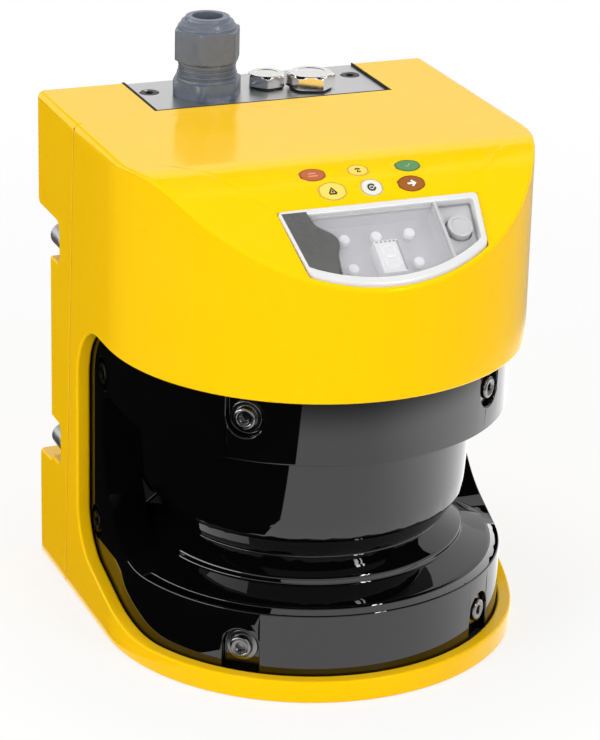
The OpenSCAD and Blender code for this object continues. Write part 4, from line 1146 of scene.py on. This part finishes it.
    def build_cap(self) -> None:
        """Ribbed cap over the socket: its side's radius is less a depth that follows cos(20 v)."""
        profile = round_corners(
            [(3.46, -1.0), (3.46, -5.9), (4.5, -5.9), (4.5, 0.6), (3.3, 0.6), (3.1, 0.25),
             (0.4, 0.25)], (0, 0.3, 0.2, 0.5, 0.1, 0.1, 0), 5, False)
        ribs, depth = 20, 0.14

        def ribbed(r: Array, h: Array, v: Array) -> Array:
            """Radius less the ribs' depth on the outer side."""
            outer = ease((r - 4.2) / 0.25) * ease((h + 5.6) / 0.6) * ease((0.2 - h) / 0.5)
            return r - depth / 2 * outer * (1 + np.cos(ribs * v))

        cap = turnings([self.panel.place(self.cap_x, self.cap_s)], profile, 160, ribbed)
        make_piece("socket_cap", cap, ["rib_plastic"], ["config_cap"], "config_connector_cap")


@dataclass(frozen=True)
class StatusLabel:
    """An oval symbol label that lies on the panel's skin with a plain mark on it."""

    node: str
    x: float
    s: float
    size: tuple[float, float]
    mark: str
    mark_finish: str

    def oval(self, inset: float, count: int = 24) -> Array:
        """Outline between two equal arcs whose rise is a third of the height, with upright ends."""
        w, h = self.size
        rise = h / 3
        arc_r = (w * w / 4 + rise * rise) / (2 * rise)
        x = np.linspace(-w / 2, w / 2, count)
        y = h / 2 - arc_r + np.sqrt(arc_r**2 - x**2)
        loop = np.concatenate([np.stack([x, -y], 1), np.stack([x[::-1], y[::-1]], 1)])
        size = 1 - 2 * inset / np.array([w, h])
        return soften_loop(loop * size, 1)

    def surfaces(self, panel: Panel) -> list[Surface]:
        """The label's body, its rim and its mark.

        Args:
            panel: The panel that it lies on.

        Returns:
            Surfaces whose finish numbers are 0 body, 1 rim and 2 mark.
        """
        steps = ((0.0, -0.3), (0.0, 0.04), (0.12, 0.1), (0.5, 0.11), (0.62, 0.08), (0.9, 0.08))
        body = self.bands(panel, steps)
        rim = self.bands(panel, ((0.1, 0.05), (0.1, 0.125), (0.38, 0.125), (0.38, 0.05)))
        strokes = [self.stroke(panel, *stroke) for stroke in MARKS[self.mark]]
        return [Surface(body, capped=True), Surface(rim, wrap_rows=True, finish=1), *strokes]

    def bands(self, panel: Panel, steps: Sequence[tuple[float, float]]) -> Array:
        """Ovals at (inset, height) steps, laid on the panel's skin."""
        loops = np.stack([self.oval(inset) for inset, _ in steps])
        n = np.array([[n] for _, n in steps])
        return panel.skin(self.x + loops[..., 0], self.s + loops[..., 1], n)

    def stroke(self, panel: Panel, points: Sequence[tuple[float, float]], width: float) -> Surface:
        """A flat line of a mark: the points' path widened by half the width to both sides.

        Args:
            panel: The panel that the label lies on.
            points: The path in shares of the label's height, from its middle; down is positive.
            width: The line's width in the same measure.

        Returns:
            The line as a closed low ridge.
        """
        h = self.size[1]
        path = np.asarray(points, float) * h
        steps = np.gradient(path, axis=0)
        side = np.stack([-steps[:, 1], steps[:, 0]], 1)
        side /= np.linalg.norm(steps, axis=1, keepdims=True)
        across = np.array([-1.0, -1.0, 1.0, 1.0])[None, :, None] * width * h / 2
        flat = path[:, None] + side[:, None] * across
        n = np.array([0.05, 0.145, 0.145, 0.05])
        grid = panel.skin(self.x + flat[..., 0], self.s + flat[..., 1], n)
        return Surface(grid, capped=True, finish=2)


def arc_path(r: float, start: float, end: float, count: int = 14) -> list[tuple[float, float]]:
    """Points on a circle arc of radius r, angles in degrees."""
    v = np.radians(np.linspace(start, end, count))
    return list(zip(r * np.cos(v), r * np.sin(v)))


MARKS: dict[str, list[tuple[list[tuple[float, float]], float]]] = {
    "bar": [([(-0.26, 0.12), (0.26, 0.12)], 0.1), ([(-0.2, -0.08), (0.2, -0.08)], 0.1)],
    "eye": [(arc_path(0.16, 200, 340), 0.08), ([(-0.02, -0.02), (0.02, 0.02)], 0.16),
            ([(-0.1, 0.14), (0.14, 0.14)], 0.08)],
    "tick": [([(-0.16, 0.0), (-0.04, 0.12), (0.18, -0.14)], 0.09)],
    "sign": [([(-0.17, 0.12), (0.0, -0.18), (0.17, 0.12)], 0.08),
             ([(-0.16, 0.14), (0.16, 0.14)], 0.08), ([(0.0, -0.03), (0.0, 0.06)], 0.07)],
    "ring": [(arc_path(0.17, 0, 330), 0.09), ([(-0.07, 0.0), (0.07, 0.0)], 0.09)],
    "arrow": [([(-0.2, 0.0), (0.2, 0.0)], 0.1), ([(0.02, -0.17), (0.22, 0.0), (0.02, 0.17)], 0.1)],
}


@dataclass
class StatusSymbols:
    """The six symbol labels above the display."""

    panel: Panel
    x: float = 3.8

    def build(self) -> None:
        """Builds the labels, one piece for each of the CAD's nodes."""
        x, upper, lower = self.x, 3.1, 11.6
        labels = (
            StatusLabel("status_symbol_red", x - 19, upper, (9.6, 6.6), "bar", "mark_pink"),
            StatusLabel("status_symbol_green", x + 16.4, upper, (9.4, 6.2), "tick", "mark_green"),
            StatusLabel("status_symbols_yellow", x - 2.2, upper, (7.6, 6.0), "eye", "mark_dark"),
            StatusLabel("status_symbols_yellow", x - 14.5, lower, (10.2, 8.0), "sign", "mark_dark"),
            StatusLabel("status_symbol_white", x, lower, (8.0, 7.4), "ring", "mark_dark"),
            StatusLabel("status_symbol_orange", x + 14.8, lower, (10.0, 7.0), "arrow",
                        "mark_light"))
        for node in dict.fromkeys(label.node for label in labels):
            same = [label for label in labels if label.node == node]
            surfaces = [surface for label in same for surface in label.surfaces(self.panel)]
            colour = node.rsplit("_", 1)[1]
            finishes = [f"symbol_{colour}", f"rim_{colour}", same[0].mark_finish]
            make_piece(node + "_label", surfaces, finishes, [node], sharp=30.0)


# ---- screws, gland and plugs ----------------------------------------------------------------


@dataclass(frozen=True)
class SocketScrew:
    """A socket screw with a washer: a profile round the axis whose socket turns hexagonal."""

    washer_r: float
    washer_t: float
    head_r: float
    head_top: float
    shank_r: float
    shank_len: float
    flats: float
    socket_depth: float
    dome: float = 0.8
    ring_r: float = 0.0

    def surfaces(self, places: Sequence[Place]) -> list[Surface]:
        """Shank, washer, rounded head, ring round the socket and the socket itself.

        Args:
            places: Where each washer's underside sits, looking out along the axis.

        Returns:
            The closed surfaces.
        """
        hole = self.flats / math.sqrt(3)
        ring = self.ring_r or hole + 0.55
        floor = self.head_top - self.socket_depth
        top = self.head_top
        profile = round_corners(
            [(0.2, -self.shank_len), (self.shank_r, -self.shank_len), (self.shank_r, 0.0),
             (self.washer_r, 0.0), (self.washer_r, self.washer_t), (self.head_r, self.washer_t),
             (self.head_r, top - self.dome * 0.35), (ring + 0.25, top), (ring, top - 0.22),
             (hole + 0.1, top - 0.3), (hole, top - 0.75), (hole, floor), (0.2, floor)],
            (0, 0.4, 0.1, 0.25, 0.35, 0.15, self.dome, 0.2, 0.1, 0.12, 0.1, 0.1, 0), 5, False)
        return turnings(places, profile, 48, socket(self.flats, 0.08, floor - 0.01, top - 0.5))


@dataclass
class Fasteners:
    """Screws of the cover and the rear module, and the rear threaded inserts."""

    axis_y: float
    cover_r: float = 72.0
    front_angle: float = 40.0
    rear_y: float = 80.0

    def build(self) -> None:
        """Builds the screws of the cover and the rear module, and the inserts."""
        cover = SocketScrew(5.8, 1.15, 4.1, 3.35, 2.0, 9.0, 3.0, 2.1, dome=0.9, ring_r=2.7)
        sites = []
        for side in (-1, 1):
            v = math.radians(270 + side * self.front_angle)
            out = (math.cos(v), math.sin(v), 0.0)
            for z in (17.0, 104.0):
                sites.append(((0, self.axis_y, z), out))
            for y, z in ((19.0, 95.0), (26.0, 33.5)):
                sites.append(((0, y, z), (float(side), 0.0, 0.0)))
        floor_r = self.cover_r - 3.2
        places = [place_along(np.add(at, np.multiply(out, floor_r)), out, 10.0)
                  for at, out in sites]
        make_piece("cover_screws", cover.surfaces(places), ["dark_steel"], ["optics_cover_screws"],
                   sharp=35.0)
        module = SocketScrew(4.6, 1.1, 4.5, 10.9, 2.5, 17.0, 4.0, 2.9, dome=0.6)
        places = [place_along((side * 72.9, self.rear_y - 27, z), (0, 1, 0), 15.0)
                  for side in (-1, 1) for z in (54.0, 134.0)]
        make_piece("module_screws_turned", module.surfaces(places), ["steel"], ["module_screws"],
                   sharp=35.0)
        self.build_inserts()

    def build_inserts(self) -> None:
        """Four rear inserts with a thread: bore radius 3.75 + 0.3 cos(2 pi h / pitch - v)."""
        depth, bore_r, pitch = 9.0, 3.75, 1.25
        bore = np.stack([np.full(60, bore_r), np.linspace(depth - 0.5, 0.6, 60)], 1)
        outer = round_corners([(0.2, -1.0), (6.0, -1.0), (6.0, depth), (4.3, depth)],
                              (0, 0.2, 0.3, 0.4), 5, False)
        profile = np.concatenate([outer, bore, [(0.2, 0.4)]])

        def thread(r: Array, h: Array, v: Array) -> Array:
            """Bore radius with a helical ridge."""
            inside = abs(r - bore_r) < 0.05
            return np.where(inside, r + 0.3 * np.cos(2 * math.pi * h / pitch - v), r)

        places = [place_along((x, self.rear_y - depth, z), (0, 1, 0)) for x in (-50.0, 50.0)
                  for z in (22.0, 163.0)]
        make_piece("rear_inserts", turnings(places, profile, 40, thread), ["steel"],
                   ["mounting_inserts"], sharp=35.0)


@dataclass
class SystemPlug:
    """Plate on top with its screws, the cable gland and two blanking plugs."""

    top: float = 184.2
    gland: tuple[float, float] = (-18.0, 60.0)
    small: tuple[float, float] = (6.5, 62.5)
    large: tuple[float, float] = (21.5, 56.0)
    hex_flats: float = 24.0
    cap_flats: float = 22.5
    cap_low: float = 193.6
    cap_h: float = 20.0
    skirt_h: float = 3.4
    plate_box: tuple[float, float, float, float] = (-44.0, 47.8, 41.7, 79.0)
    # Widths of the painted shade in the gap round the plate, on its left, front and right.
    gap_shade_w: tuple[float, float, float] = (1.1, 0.6, 0.5)
    spin: float = -118.0

    def build(self) -> None:
        """Builds every piece of the system plug but its plate, which is a casting."""
        self.build_gland_body()
        self.build_cap_nut()
        self.build_seal()
        self.build_plugs()
        self.build_plate_screws()
        self.build_plate_gap_shade()

    def build_gland_body(self) -> None:
        """Lower hexagon with soft edges, a grooved collar, and the thread under the cap nut."""
        t, c = self.top, self.cap_low
        profile = round_corners(
            [(6.2, t - 14.7), (9.8, t - 14.7), (9.9, t), (14.6, t), (14.6, t + 6.0),
             (11.2, t + 6.05), (11.2, t + 7.0), (10.5, t + 7.2), (10.5, t + 7.7), (11.1, t + 7.9),
             (11.1, t + 8.6), (10.2, t + 8.8), (10.2, c - 0.05), (9.4, c - 0.02), (9.4, c + 14.0),
             (7.25, c + 14.0), (7.25, c), (6.2, c)],
            (0.3, 0.3, 0, 0.2, 0.2, 0.3, 0.2, 0.1, 0.1, 0.2, 0.2, 0.1, 0, 0, 0.3, 0.3, 0, 0), 4)

        def hexed(r: Array, h: Array, v: Array) -> Array:
            """Hexagon between the plate and the collar, cut by cones at its ends."""
            ends = np.minimum(h - t, t + 6.0 - h)
            cone = 13.0 + np.clip(ends, 0, 0.9) * 0.9
            low = soft_min(hexagon(v, self.hex_flats, 13.6), cone)
            return np.where((r > 13.0) & (ends > -0.1), np.minimum(low, r), r)

        grid = lathe(place_along((*self.gland, 0.0), (0, 0, 1), self.spin), profile, 96, hexed)
        make_piece("gland_lower_part", [Surface(grid, wrap_rows=True)], ["dark_polyamide"],
                   ["gland_body"], sharp=32.0)

    def build_cap_nut(self) -> None:
        """Cap nut: a hexagon whose corners are cut by cones, a stepped rim, a ring, a thread.

        The radius is the soft smaller of the hexagon, 11.25 / cos(v), and a cone over the height.
        """
        h, skirt, bore_r, side_r, pitch = self.cap_h, self.skirt_h, 9.68, 13.0, 1.5
        side = np.linspace(skirt + 0.4, h - 4.6, 24)
        neck = round_corners([(9.7, 0.0), (10.5, 0.0), (10.65, 0.3), (10.65, 0.9), (10.1, 1.1),
                              (10.1, 1.6), (10.65, 1.8), (10.65, skirt - 0.5), (10.3, skirt)],
                             (0, 0.1, *(0.12,) * 6, 0.1), 3, False)
        head = round_corners([(10.9, h - 4.3), (10.9, h - 3.5), (10.1, h - 3.1), (9.6, h - 1.6),
                              (8.3, h - 1.4), (8.1, h - 0.1), (7.6, h), (5.7, h), (5.65, h - 0.5),
                              (5.6, h - 3.2), (7.5, h - 4.2)],
                             (0.2, 0.3, 0.2, 0.4, 0.2, 0.2, 0.2, 0.2, 0.1, 0, 0), 4, False)
        bore = np.stack([np.full(70, bore_r), np.linspace(h - 4.4, 0.4, 70)], 1)
        profile = np.concatenate([neck, np.stack([np.full(24, side_r), side], 1), head, bore])

        def shaped(r: Array, z: Array, v: Array) -> Array:
            """Outer hexagon between its two cones, and the helical thread of the bore."""
            cone = np.minimum(10.9 + (z - skirt) * 2.2, 11.3 + (h - 4.0 - z) * 2.2)
            body = soft_min(hexagon(v, self.cap_flats, 12.75), np.maximum(cone, 10.9))
            ridge = bore_r + 0.04 * np.cos(2 * math.pi * z / pitch - v)
            return np.where(r == side_r, body, np.where(r == bore_r, ridge, r))

        place = place_along((*self.gland, self.cap_low), (0, 0, 1), self.spin)
        grid = lathe(place, profile, 120, shaped)
        make_piece("gland_nut_part", [Surface(grid, wrap_rows=True)], ["dark_polyamide"],
                   ["gland_cap_nut"], "gland_nut", sharp=32.0)

    def build_seal(self) -> None:
        """Seal ring in the gland: a tube with a rounded mouth."""
        bore_r, outer_r, top = 5.2, 7.1, 15.75
        profile = round_corners([(bore_r, 0.0), (outer_r, 0.0), (outer_r, top), (bore_r, top)],
                                (0.2, 0.3, 0.4, 1.2), 6)
        grid = lathe(place_along((*self.gland, self.cap_low), (0, 0, 1)), profile)
        make_piece("gland_seal_ring", [Surface(grid, wrap_rows=True)], ["rubber"],
                   ["gland_seal_insert"])

    def build_plugs(self) -> None:
        """Two nickel hexagon plugs with chamfered heads on rubber rings."""
        rings = []
        for name, at, flats, height, shank, turn in (("small", self.small, 13.0, 4.4, 5.0, 12.0),
                                                     ("large", self.large, 16.0, 5.2, 6.5, 40.0)):
            place = place_along((*at, self.top), (0, 0, 1), turn)
            seat, r, half = 0.8, flats / math.sqrt(3), flats / 2
            top = seat + height
            head = round_corners([(shank - 1.5, -6.8), (shank - 0.05, -6.8), (shank - 0.05, seat),
                                  (r, seat), (r, top - 0.9), (half - 0.3, top), (half - 2.2, top),
                                  (half - 2.6, top - 0.25), (0.2, top - 0.25)],
                                 (0.2, 0.3, 0.1, 0.2, 0.25, 0.4, 0.2, 0.2, 0), 5, False)
            profile = np.concatenate([[(0.2, -0.8), (shank - 1.5, -0.8)], head])

            def hexed(r: Array, z: Array, v: Array, half: float = half, top: float = top) -> Array:
                """Hexagon on the head's side, cut by a cone that starts at the flats."""
                cut = soft_min(hexagon(v, half * 2), half + 0.15 + (top - z) * 1.5)
                return np.where((r > half - 0.2) & (z > 0.7), np.minimum(r, cut), r)

            make_piece(f"{name}_hex_plug", turnings([place], profile, 96, hexed), ["nickel"],
                       [f"blanking_plug_{name}"], sharp=32.0)
            band = round_corners([(shank + 0.1, 0.0), (half - 0.2, 0.0), (half - 0.2, seat),
                                  (shank + 0.1, seat)], (0.1, 0.3, 0.3, 0.1), 5)
            rings.append(Surface(lathe(place, band), wrap_rows=True))
        make_piece("plug_rings", rings, ["rubber"], ["blanking_plug_rings"])

    def build_plate_screws(self) -> None:
        """Two dark socket screws sunk level with the plate."""
        flats = 2.5
        hole = flats / math.sqrt(3)
        profile = round_corners([(0.2, -11.8), (1.5, -11.8), (1.5, -1.5), (3.4, -1.5), (3.4, -0.1),
                                 (hole + 0.3, -0.1), (hole, -0.35), (hole, -1.2), (0.2, -1.2)],
                                (0, 0.3, 0, 0.1, 0.35, 0.15, 0.1, 0.1, 0), 5, False)
        places = [place_along((x, 67.0, self.top), (0, 0, 1), 20.0) for x in (-38.0, 42.0)]
        screws = turnings(places, profile, 48, socket(flats, 0.02, -1.25, -0.3))
        make_piece("plate_screws", screws, ["black_steel"], ["system_plug_screws"], sharp=35.0)

    def build_plate_gap_shade(self) -> None:
        """Painted shade: a dark, rounded rubber strip along the plate's left, front and right that
        stands for the shade in the gap round it; it is widest on the left.
        """
        left, right, front, rear = self.plate_box
        path = np.array([(left, rear), (left, front), (right, front), (right, rear)])
        strips = []
        for (x0, y0), (x1, y1), w in zip(path[:-1], path[1:], self.gap_shade_w):
            run = np.array([x1 - x0, y1 - y0, 0.0])
            across = run / np.linalg.norm(run)
            place = Place(((x0 + x1) / 2, (y0 + y1) / 2, self.top), tuple(across),
                          (-across[1], across[0], 0.0))
            strips.append(strip(place, float(np.linalg.norm(run)) / 2 + 0.3, w / 2, -0.5, 0.9, 0.1))
        make_piece("plate_gap_shade", strips, ["rubber"], sharp=35.0)


# ---- studio ---------------------------------------------------------------------------------


@dataclass
class Studio:
    """Pale floor, white surroundings, soft lamps and the camera."""

    azimuth: float = -22.2
    elevation: float = 21.5
    roll: float = 1.44
    distance: float = 1107.6
    lens: float = 147.3
    target: tuple[float, float, float] = (0.0, 5.0, 95.0)
    slide: tuple[float, float] = (-0.56, -2.04)

    def build(self) -> None:
        """Builds the whole studio."""
        self.build_camera()
        self.build_world()
        self.build_floor()
        self.build_lamps()
        self.build_cards()

    def build_camera(self) -> None:
        """Camera at its angle and distance, rolled and slid a little in its own plane."""
        a, e, roll = (math.radians(v) for v in (self.azimuth, self.elevation, self.roll))
        ahead = Vector((-math.sin(a) * math.cos(e), math.cos(a) * math.cos(e), -math.sin(e)))
        right = Vector((math.cos(a), math.sin(a), 0.0))
        up = right.cross(ahead)
        right, up = (math.cos(roll) * right + math.sin(roll) * up,
                     math.cos(roll) * up - math.sin(roll) * right)
        slid = right * self.slide[0] + up * self.slide[1]
        centre = Vector(self.target) - ahead * self.distance + slid
        data = bpy.data.cameras.new("camera")
        data.lens = self.lens
        data.sensor_width = 36.0
        data.clip_start = 0.02
        camera = bpy.data.objects.new("camera", data)
        turn = Matrix((right, up, -ahead)).transposed().to_4x4()
        camera.matrix_world = Matrix.Translation(centre * MM) @ turn
        bpy.context.scene.collection.objects.link(camera)
        bpy.context.scene.camera = camera

    def build_world(self) -> None:
        """White where seen, mirrored or seen through; a softer grey light for everything else."""
        world = bpy.data.worlds.new("studio")
        bpy.context.scene.world = world
        g = emptied(world)
        path = g.node("ShaderNodeLightPath").outputs
        bent = g.maths("MAXIMUM", path["Is Glossy Ray"], path["Is Transmission Ray"])
        seen = g.maths("MAXIMUM", path["Is Camera Ray"], bent)
        back = g.node("ShaderNodeBackground", Color=(1.0, 1.0, 1.0, 1.0),
                      Strength=g.ramp(seen, 0.0, 1.0, 0.5, 1.0))
        g.node("ShaderNodeOutputWorld", Surface=back.outputs[0])

    def build_floor(self) -> None:
        """Pale floor that looks white to the camera and keeps the object's shadow.

        Glossy surfaces see it brighter towards the right and dimmer away from the object.
        """
        material = bpy.data.materials.new("studio_floor")
        g = emptied(material)
        path = g.node("ShaderNodeLightPath").outputs
        where = g.where()
        tone = g.mix(g.noise(where, 3.0), (0.86, 0.86, 0.86), (0.88, 0.88, 0.88))
        plain = g.node("ShaderNodeBsdfDiffuse", Color=tone)
        x = g.node("ShaderNodeSeparateXYZ", Vector=where).outputs["X"]
        length = g.node("ShaderNodeVectorMath", {"operation": "LENGTH"}, Vector=where)
        away = length.outputs["Value"]
        seen = g.times(path["Is Camera Ray"], g.ramp(away, 0.15, 0.7, 0.75, 1.0))
        seen = g.maths("MAXIMUM", seen, path["Is Glossy Ray"])
        bright = g.times(g.ramp(x, 0.03, 0.25, 1.3, 2.1), g.ramp(away, 0.30, 0.36, 1.0, 0.2))
        more = g.maths("SUBTRACT", bright, 1.0)
        level = g.maths("MULTIPLY_ADD", path["Is Glossy Ray"], more, 1.0)
        glow = g.node("ShaderNodeEmission", Color=(1.0, 1.0, 1.0, 1.0), Strength=level)
        both = g.node("ShaderNodeMixShader")
        for key, value in ((0, seen), (1, plain.outputs[0]), (2, glow.outputs[0])):
            g.feed(both, key, value)
        g.node("ShaderNodeOutputMaterial", Surface=both.outputs[0])
        w, z = 2500.0, -0.02
        self.stage_patch("floor", [(-w, -w, z), (w, -w, z), (w, w, z), (-w, w, z)], material)

    def stage_patch(self, name: str, corners: Sequence[Sequence[float]],
                    material: bpy.types.Material) -> bpy.types.Object:
        """A patch of the studio between four corners A, B, C, D.

        P(u, v) = (1-u)(1-v) A + u(1-v) B + uv C + (1-u)v D.

        Args:
            name: Its name.
            corners: The four corners in millimetres, in turn.
            material: Its material.

        Returns:
            The object.
        """
        a, b, c, d = np.asarray(corners, float)
        t = np.linspace(0, 1, 6)
        u, v = t[:, None, None], t[None, :, None]
        grid = (1 - u) * (1 - v) * a + u * (1 - v) * b + u * v * c + (1 - u) * v * d
        points, quads = Surface(grid, wrap_cols=False).pieces()
        mesh = bpy.data.meshes.new(name)
        mesh.from_pydata(points * MM, [], quads)
        mesh.materials.append(material)
        patch = bpy.data.objects.new(name, mesh)
        bpy.context.scene.collection.objects.link(patch)
        return patch

    def build_lamps(self) -> None:
        """Soft lamps: a large key in front to the right, one over the top, one on the left.

        None of them shows in glossy surfaces, which see the cards instead.
        """
        for name, at, aim, size, power in (
                ("key", (480, -1000, 620), (0, 0, 90), 620, 6.0),
                ("top", (-40, 60, 1050), (0, 0, 120), 700, 4.5),
                ("left", (-950, -420, 420), (0, 0, 90), 600, 4.8)):
            data = bpy.data.lights.new(name, "AREA")
            data.shape, data.size, data.energy = "DISK", size * MM, power
            lamp = bpy.data.objects.new(name, data)
            lamp.location = Vector(at) * MM
            lamp.rotation_euler = (Vector(aim) - Vector(at)).to_track_quat("-Z", "Y").to_euler()
            lamp.visible_glossy = False
            bpy.context.scene.collection.objects.link(lamp)

    def build_cards(self) -> None:
        """Cards that only glossy surfaces see: dark ones overhead and on the floor, bright strips,
        and two dark sheets of painted shade inside the left slot.

        The floor cards leave the floor bright in front to the right, as a sheet laid there would.
        """
        far, floor, over, dark = 3000.0, 0.05, 1700.0, 0.005
        slot_x, back_y, left_x = -73.3, 5000.0, -900.0

        def flat(z: float, *points: tuple[float, float]) -> list[Point]:
            """Corners of a level card from (x, y)."""
            return [(x, y, z) for x, y in points]

        def upright(x: float, y0: float, y1: float, z0: float, z1: float) -> list[Point]:
            """Corners of a card across x."""
            return [(x, y0, z0), (x, y1, z0), (x, y1, z1), (x, y0, z1)]

        def facing(y: float, x0: float, x1: float, z0: float, z1: float) -> list[Point]:
            """Corners of a card across y."""
            return [(x0, y, z0), (x1, y, z0), (x1, y, z1), (x0, y, z1)]

        def sloping(x0: float, x1: float, x2: float, x3: float) -> list[Point]:
            """Corners of a bright strip in front that leans back and to the right."""
            low, high = (-747.0, 470.0), (-418.0, 787.0)
            return [(x0, *low), (x1, *low), (x2, *high), (x3, *high)]

        cards = (
            ("card_floor_front", dark, flat(floor, (-84, -91), (-491, -1500), (-far, -1500),
                                            (-far, -91))),
            ("card_floor_left", dark, flat(floor, (-79, -91), (-79, 1500), (-far, 1500),
                                           (-far, -91))),
            ("card_over", dark, flat(over, (-far, -far), (far, -far), (far, 250), (-far, 250))),
            ("card_over_rear", dark, flat(over, (-far, 250), (303, 250), (1820, 1500),
                                          (-far, 1500))),
            ("card_over_left", dark, flat(over, (-far, 1500), (0, 1500), (0, 4000), (-far, 4000))),
            # Painted shade: two dark sheets inside the left slot, so that the slot's walls mirror
            # darkness where little light reaches.
            ("painted_shade_in_slot", dark, facing(13, -78, -57, 33, 97)),
            ("painted_shade_slot_wall", dark, upright(slot_x, 45, -8, 26, 116)),
            ("card_far", 0.85, facing(back_y, -900, 4500, 1000, 2150)),
            ("strip_left", 8.0, upright(left_x, -400, 900, 150, 300)),
            ("strip_front", 24.0, sloping(250, 290, 322, 284)),
            ("strip_front_thin", 24.0, sloping(318, 334, 366, 350)))
        for name, level, points in cards:
            material = bpy.data.materials.new(name)
            g = emptied(material)
            tone = g.mix(g.noise(g.where(), 2.0), (0.94, 0.94, 0.94), (1.0, 1.0, 1.0))
            glow = g.node("ShaderNodeEmission", Color=tone, Strength=level)
            g.node("ShaderNodeOutputMaterial", Surface=glow.outputs[0])
            card = self.stage_patch(name, points, material)
            for rays in ("camera", "diffuse", "transmission", "shadow", "volume_scatter"):
                setattr(card, "visible_" + rays, False)


# ---- the whole ------------------------------------------------------------------------------


@dataclass
class Scanner:
    """The whole scanner: castings, display, fasteners, plug, and the solids kept plain.

    plain holds the names of the carried-over solids that get each finish.
    """

    frame: dict[str, Any]
    plain: dict[str, str] = field(default_factory=lambda: {
        "rubber": "seam_seal optics_cover_seal system_plug_seal",
        "clear_window": "display_window",
        "grey_tray": "display_tray",
        "circuit_board": "display_board memory_board detector_board main_board io_board "
                         "monitor_boards",
        "nickel": "config_connector",
        "black_plastic": "plug_connector encoder_sensor lens_tube board_connector io_socket",
        "aluminium": "motor_bracket rotor_cup encoder_disc sender_bridge",
        "steel": "ball_bearings rotor_shaft detector_posts main_board_posts io_board_posts",
        "copper_winding": "motor_stator",
        "magnet": "rotor_magnet",
        "dark_polyamide": "mirror_carrier sender_tube",
        "mirror_glass": "deflecting_mirror",
        "lens_glass": "receiver_lens collimator_lens",
        "brass": "laser_module",
        "white_plastic": "reference_target"})

    def build(self) -> None:
        """Builds and dresses every piece in order."""
        nodes = self.frame["nodes"]
        pull = next(j for j in self.frame["joints"] if j["name"] == "config_cap_pull")["axis"]
        low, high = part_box("sensor_head_housing")
        flat_top, round_r = 44.4, (high.x - low.x) / MM / 2
        slope = math.degrees(math.atan2(-pull[1], pull[2]))
        panel = Panel(low.y / MM + flat_top, high.z / MM, slope)
        axis_y = low.y / MM + round_r
        seam = Seam()
        near_panel = FineZone((-70, -82, 140), (70, -22, 190), 0.25, axis_y, 76.9)
        label_seats = FineZone((-24, -54.5, 140), (30, -30, 190), 0.0)
        rim = Rim(axis_y, round_r, 140.0)
        zones = (near_panel, label_seats, *seam.zones())
        for casting in (Casting("sensor_head_housing", "yellow_paint", 1.0, zones=zones,
                                blend=panel, rim=rim),
                        Casting("io_module_housing", "yellow_paint", 1.0, zones=seam.zones()),
                        Casting("optics_cover", "black_cover", 0.7),
                        Casting("system_plug_plate", "grey_plate", 0.35)):
            casting.build(nodes)
        Display(panel, axis_y).build()
        StatusSymbols(panel).build()
        Fasteners(axis_y).build()
        SystemPlug().build()
        seam.build()
        self.dress(nodes)

    def dress(self, nodes: dict[str, bpy.types.Object]) -> None:
        """Gives each carried-over solid that stays its finish."""
        for finish_name, names in self.plain.items():
            clear = finish_name == "clear_window"
            material = window_material() if clear else FINISHES[finish_name].build()
            for name in names.split():
                for place in nodes[name].material_slots:
                    place.link = "OBJECT"
                    place.material = material
                LOG.info("%s: %s", name, finish_name)


def corners(box: Any) -> list[list[float]]:
    """A box as plain lists of numbers."""
    return [[float(v) for v in corner] for corner in box]


def main() -> None:
    """Builds the studio and the scanner."""
    logging.basicConfig(level=logging.INFO, format="%(name)s: %(message)s")
    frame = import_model()
    Studio().build()
    Scanner(frame).build()
    bpy.context.scene.view_settings.view_transform = "Standard"
    bpy.context.view_layer.update()


if __name__ == "__main__":
    main()
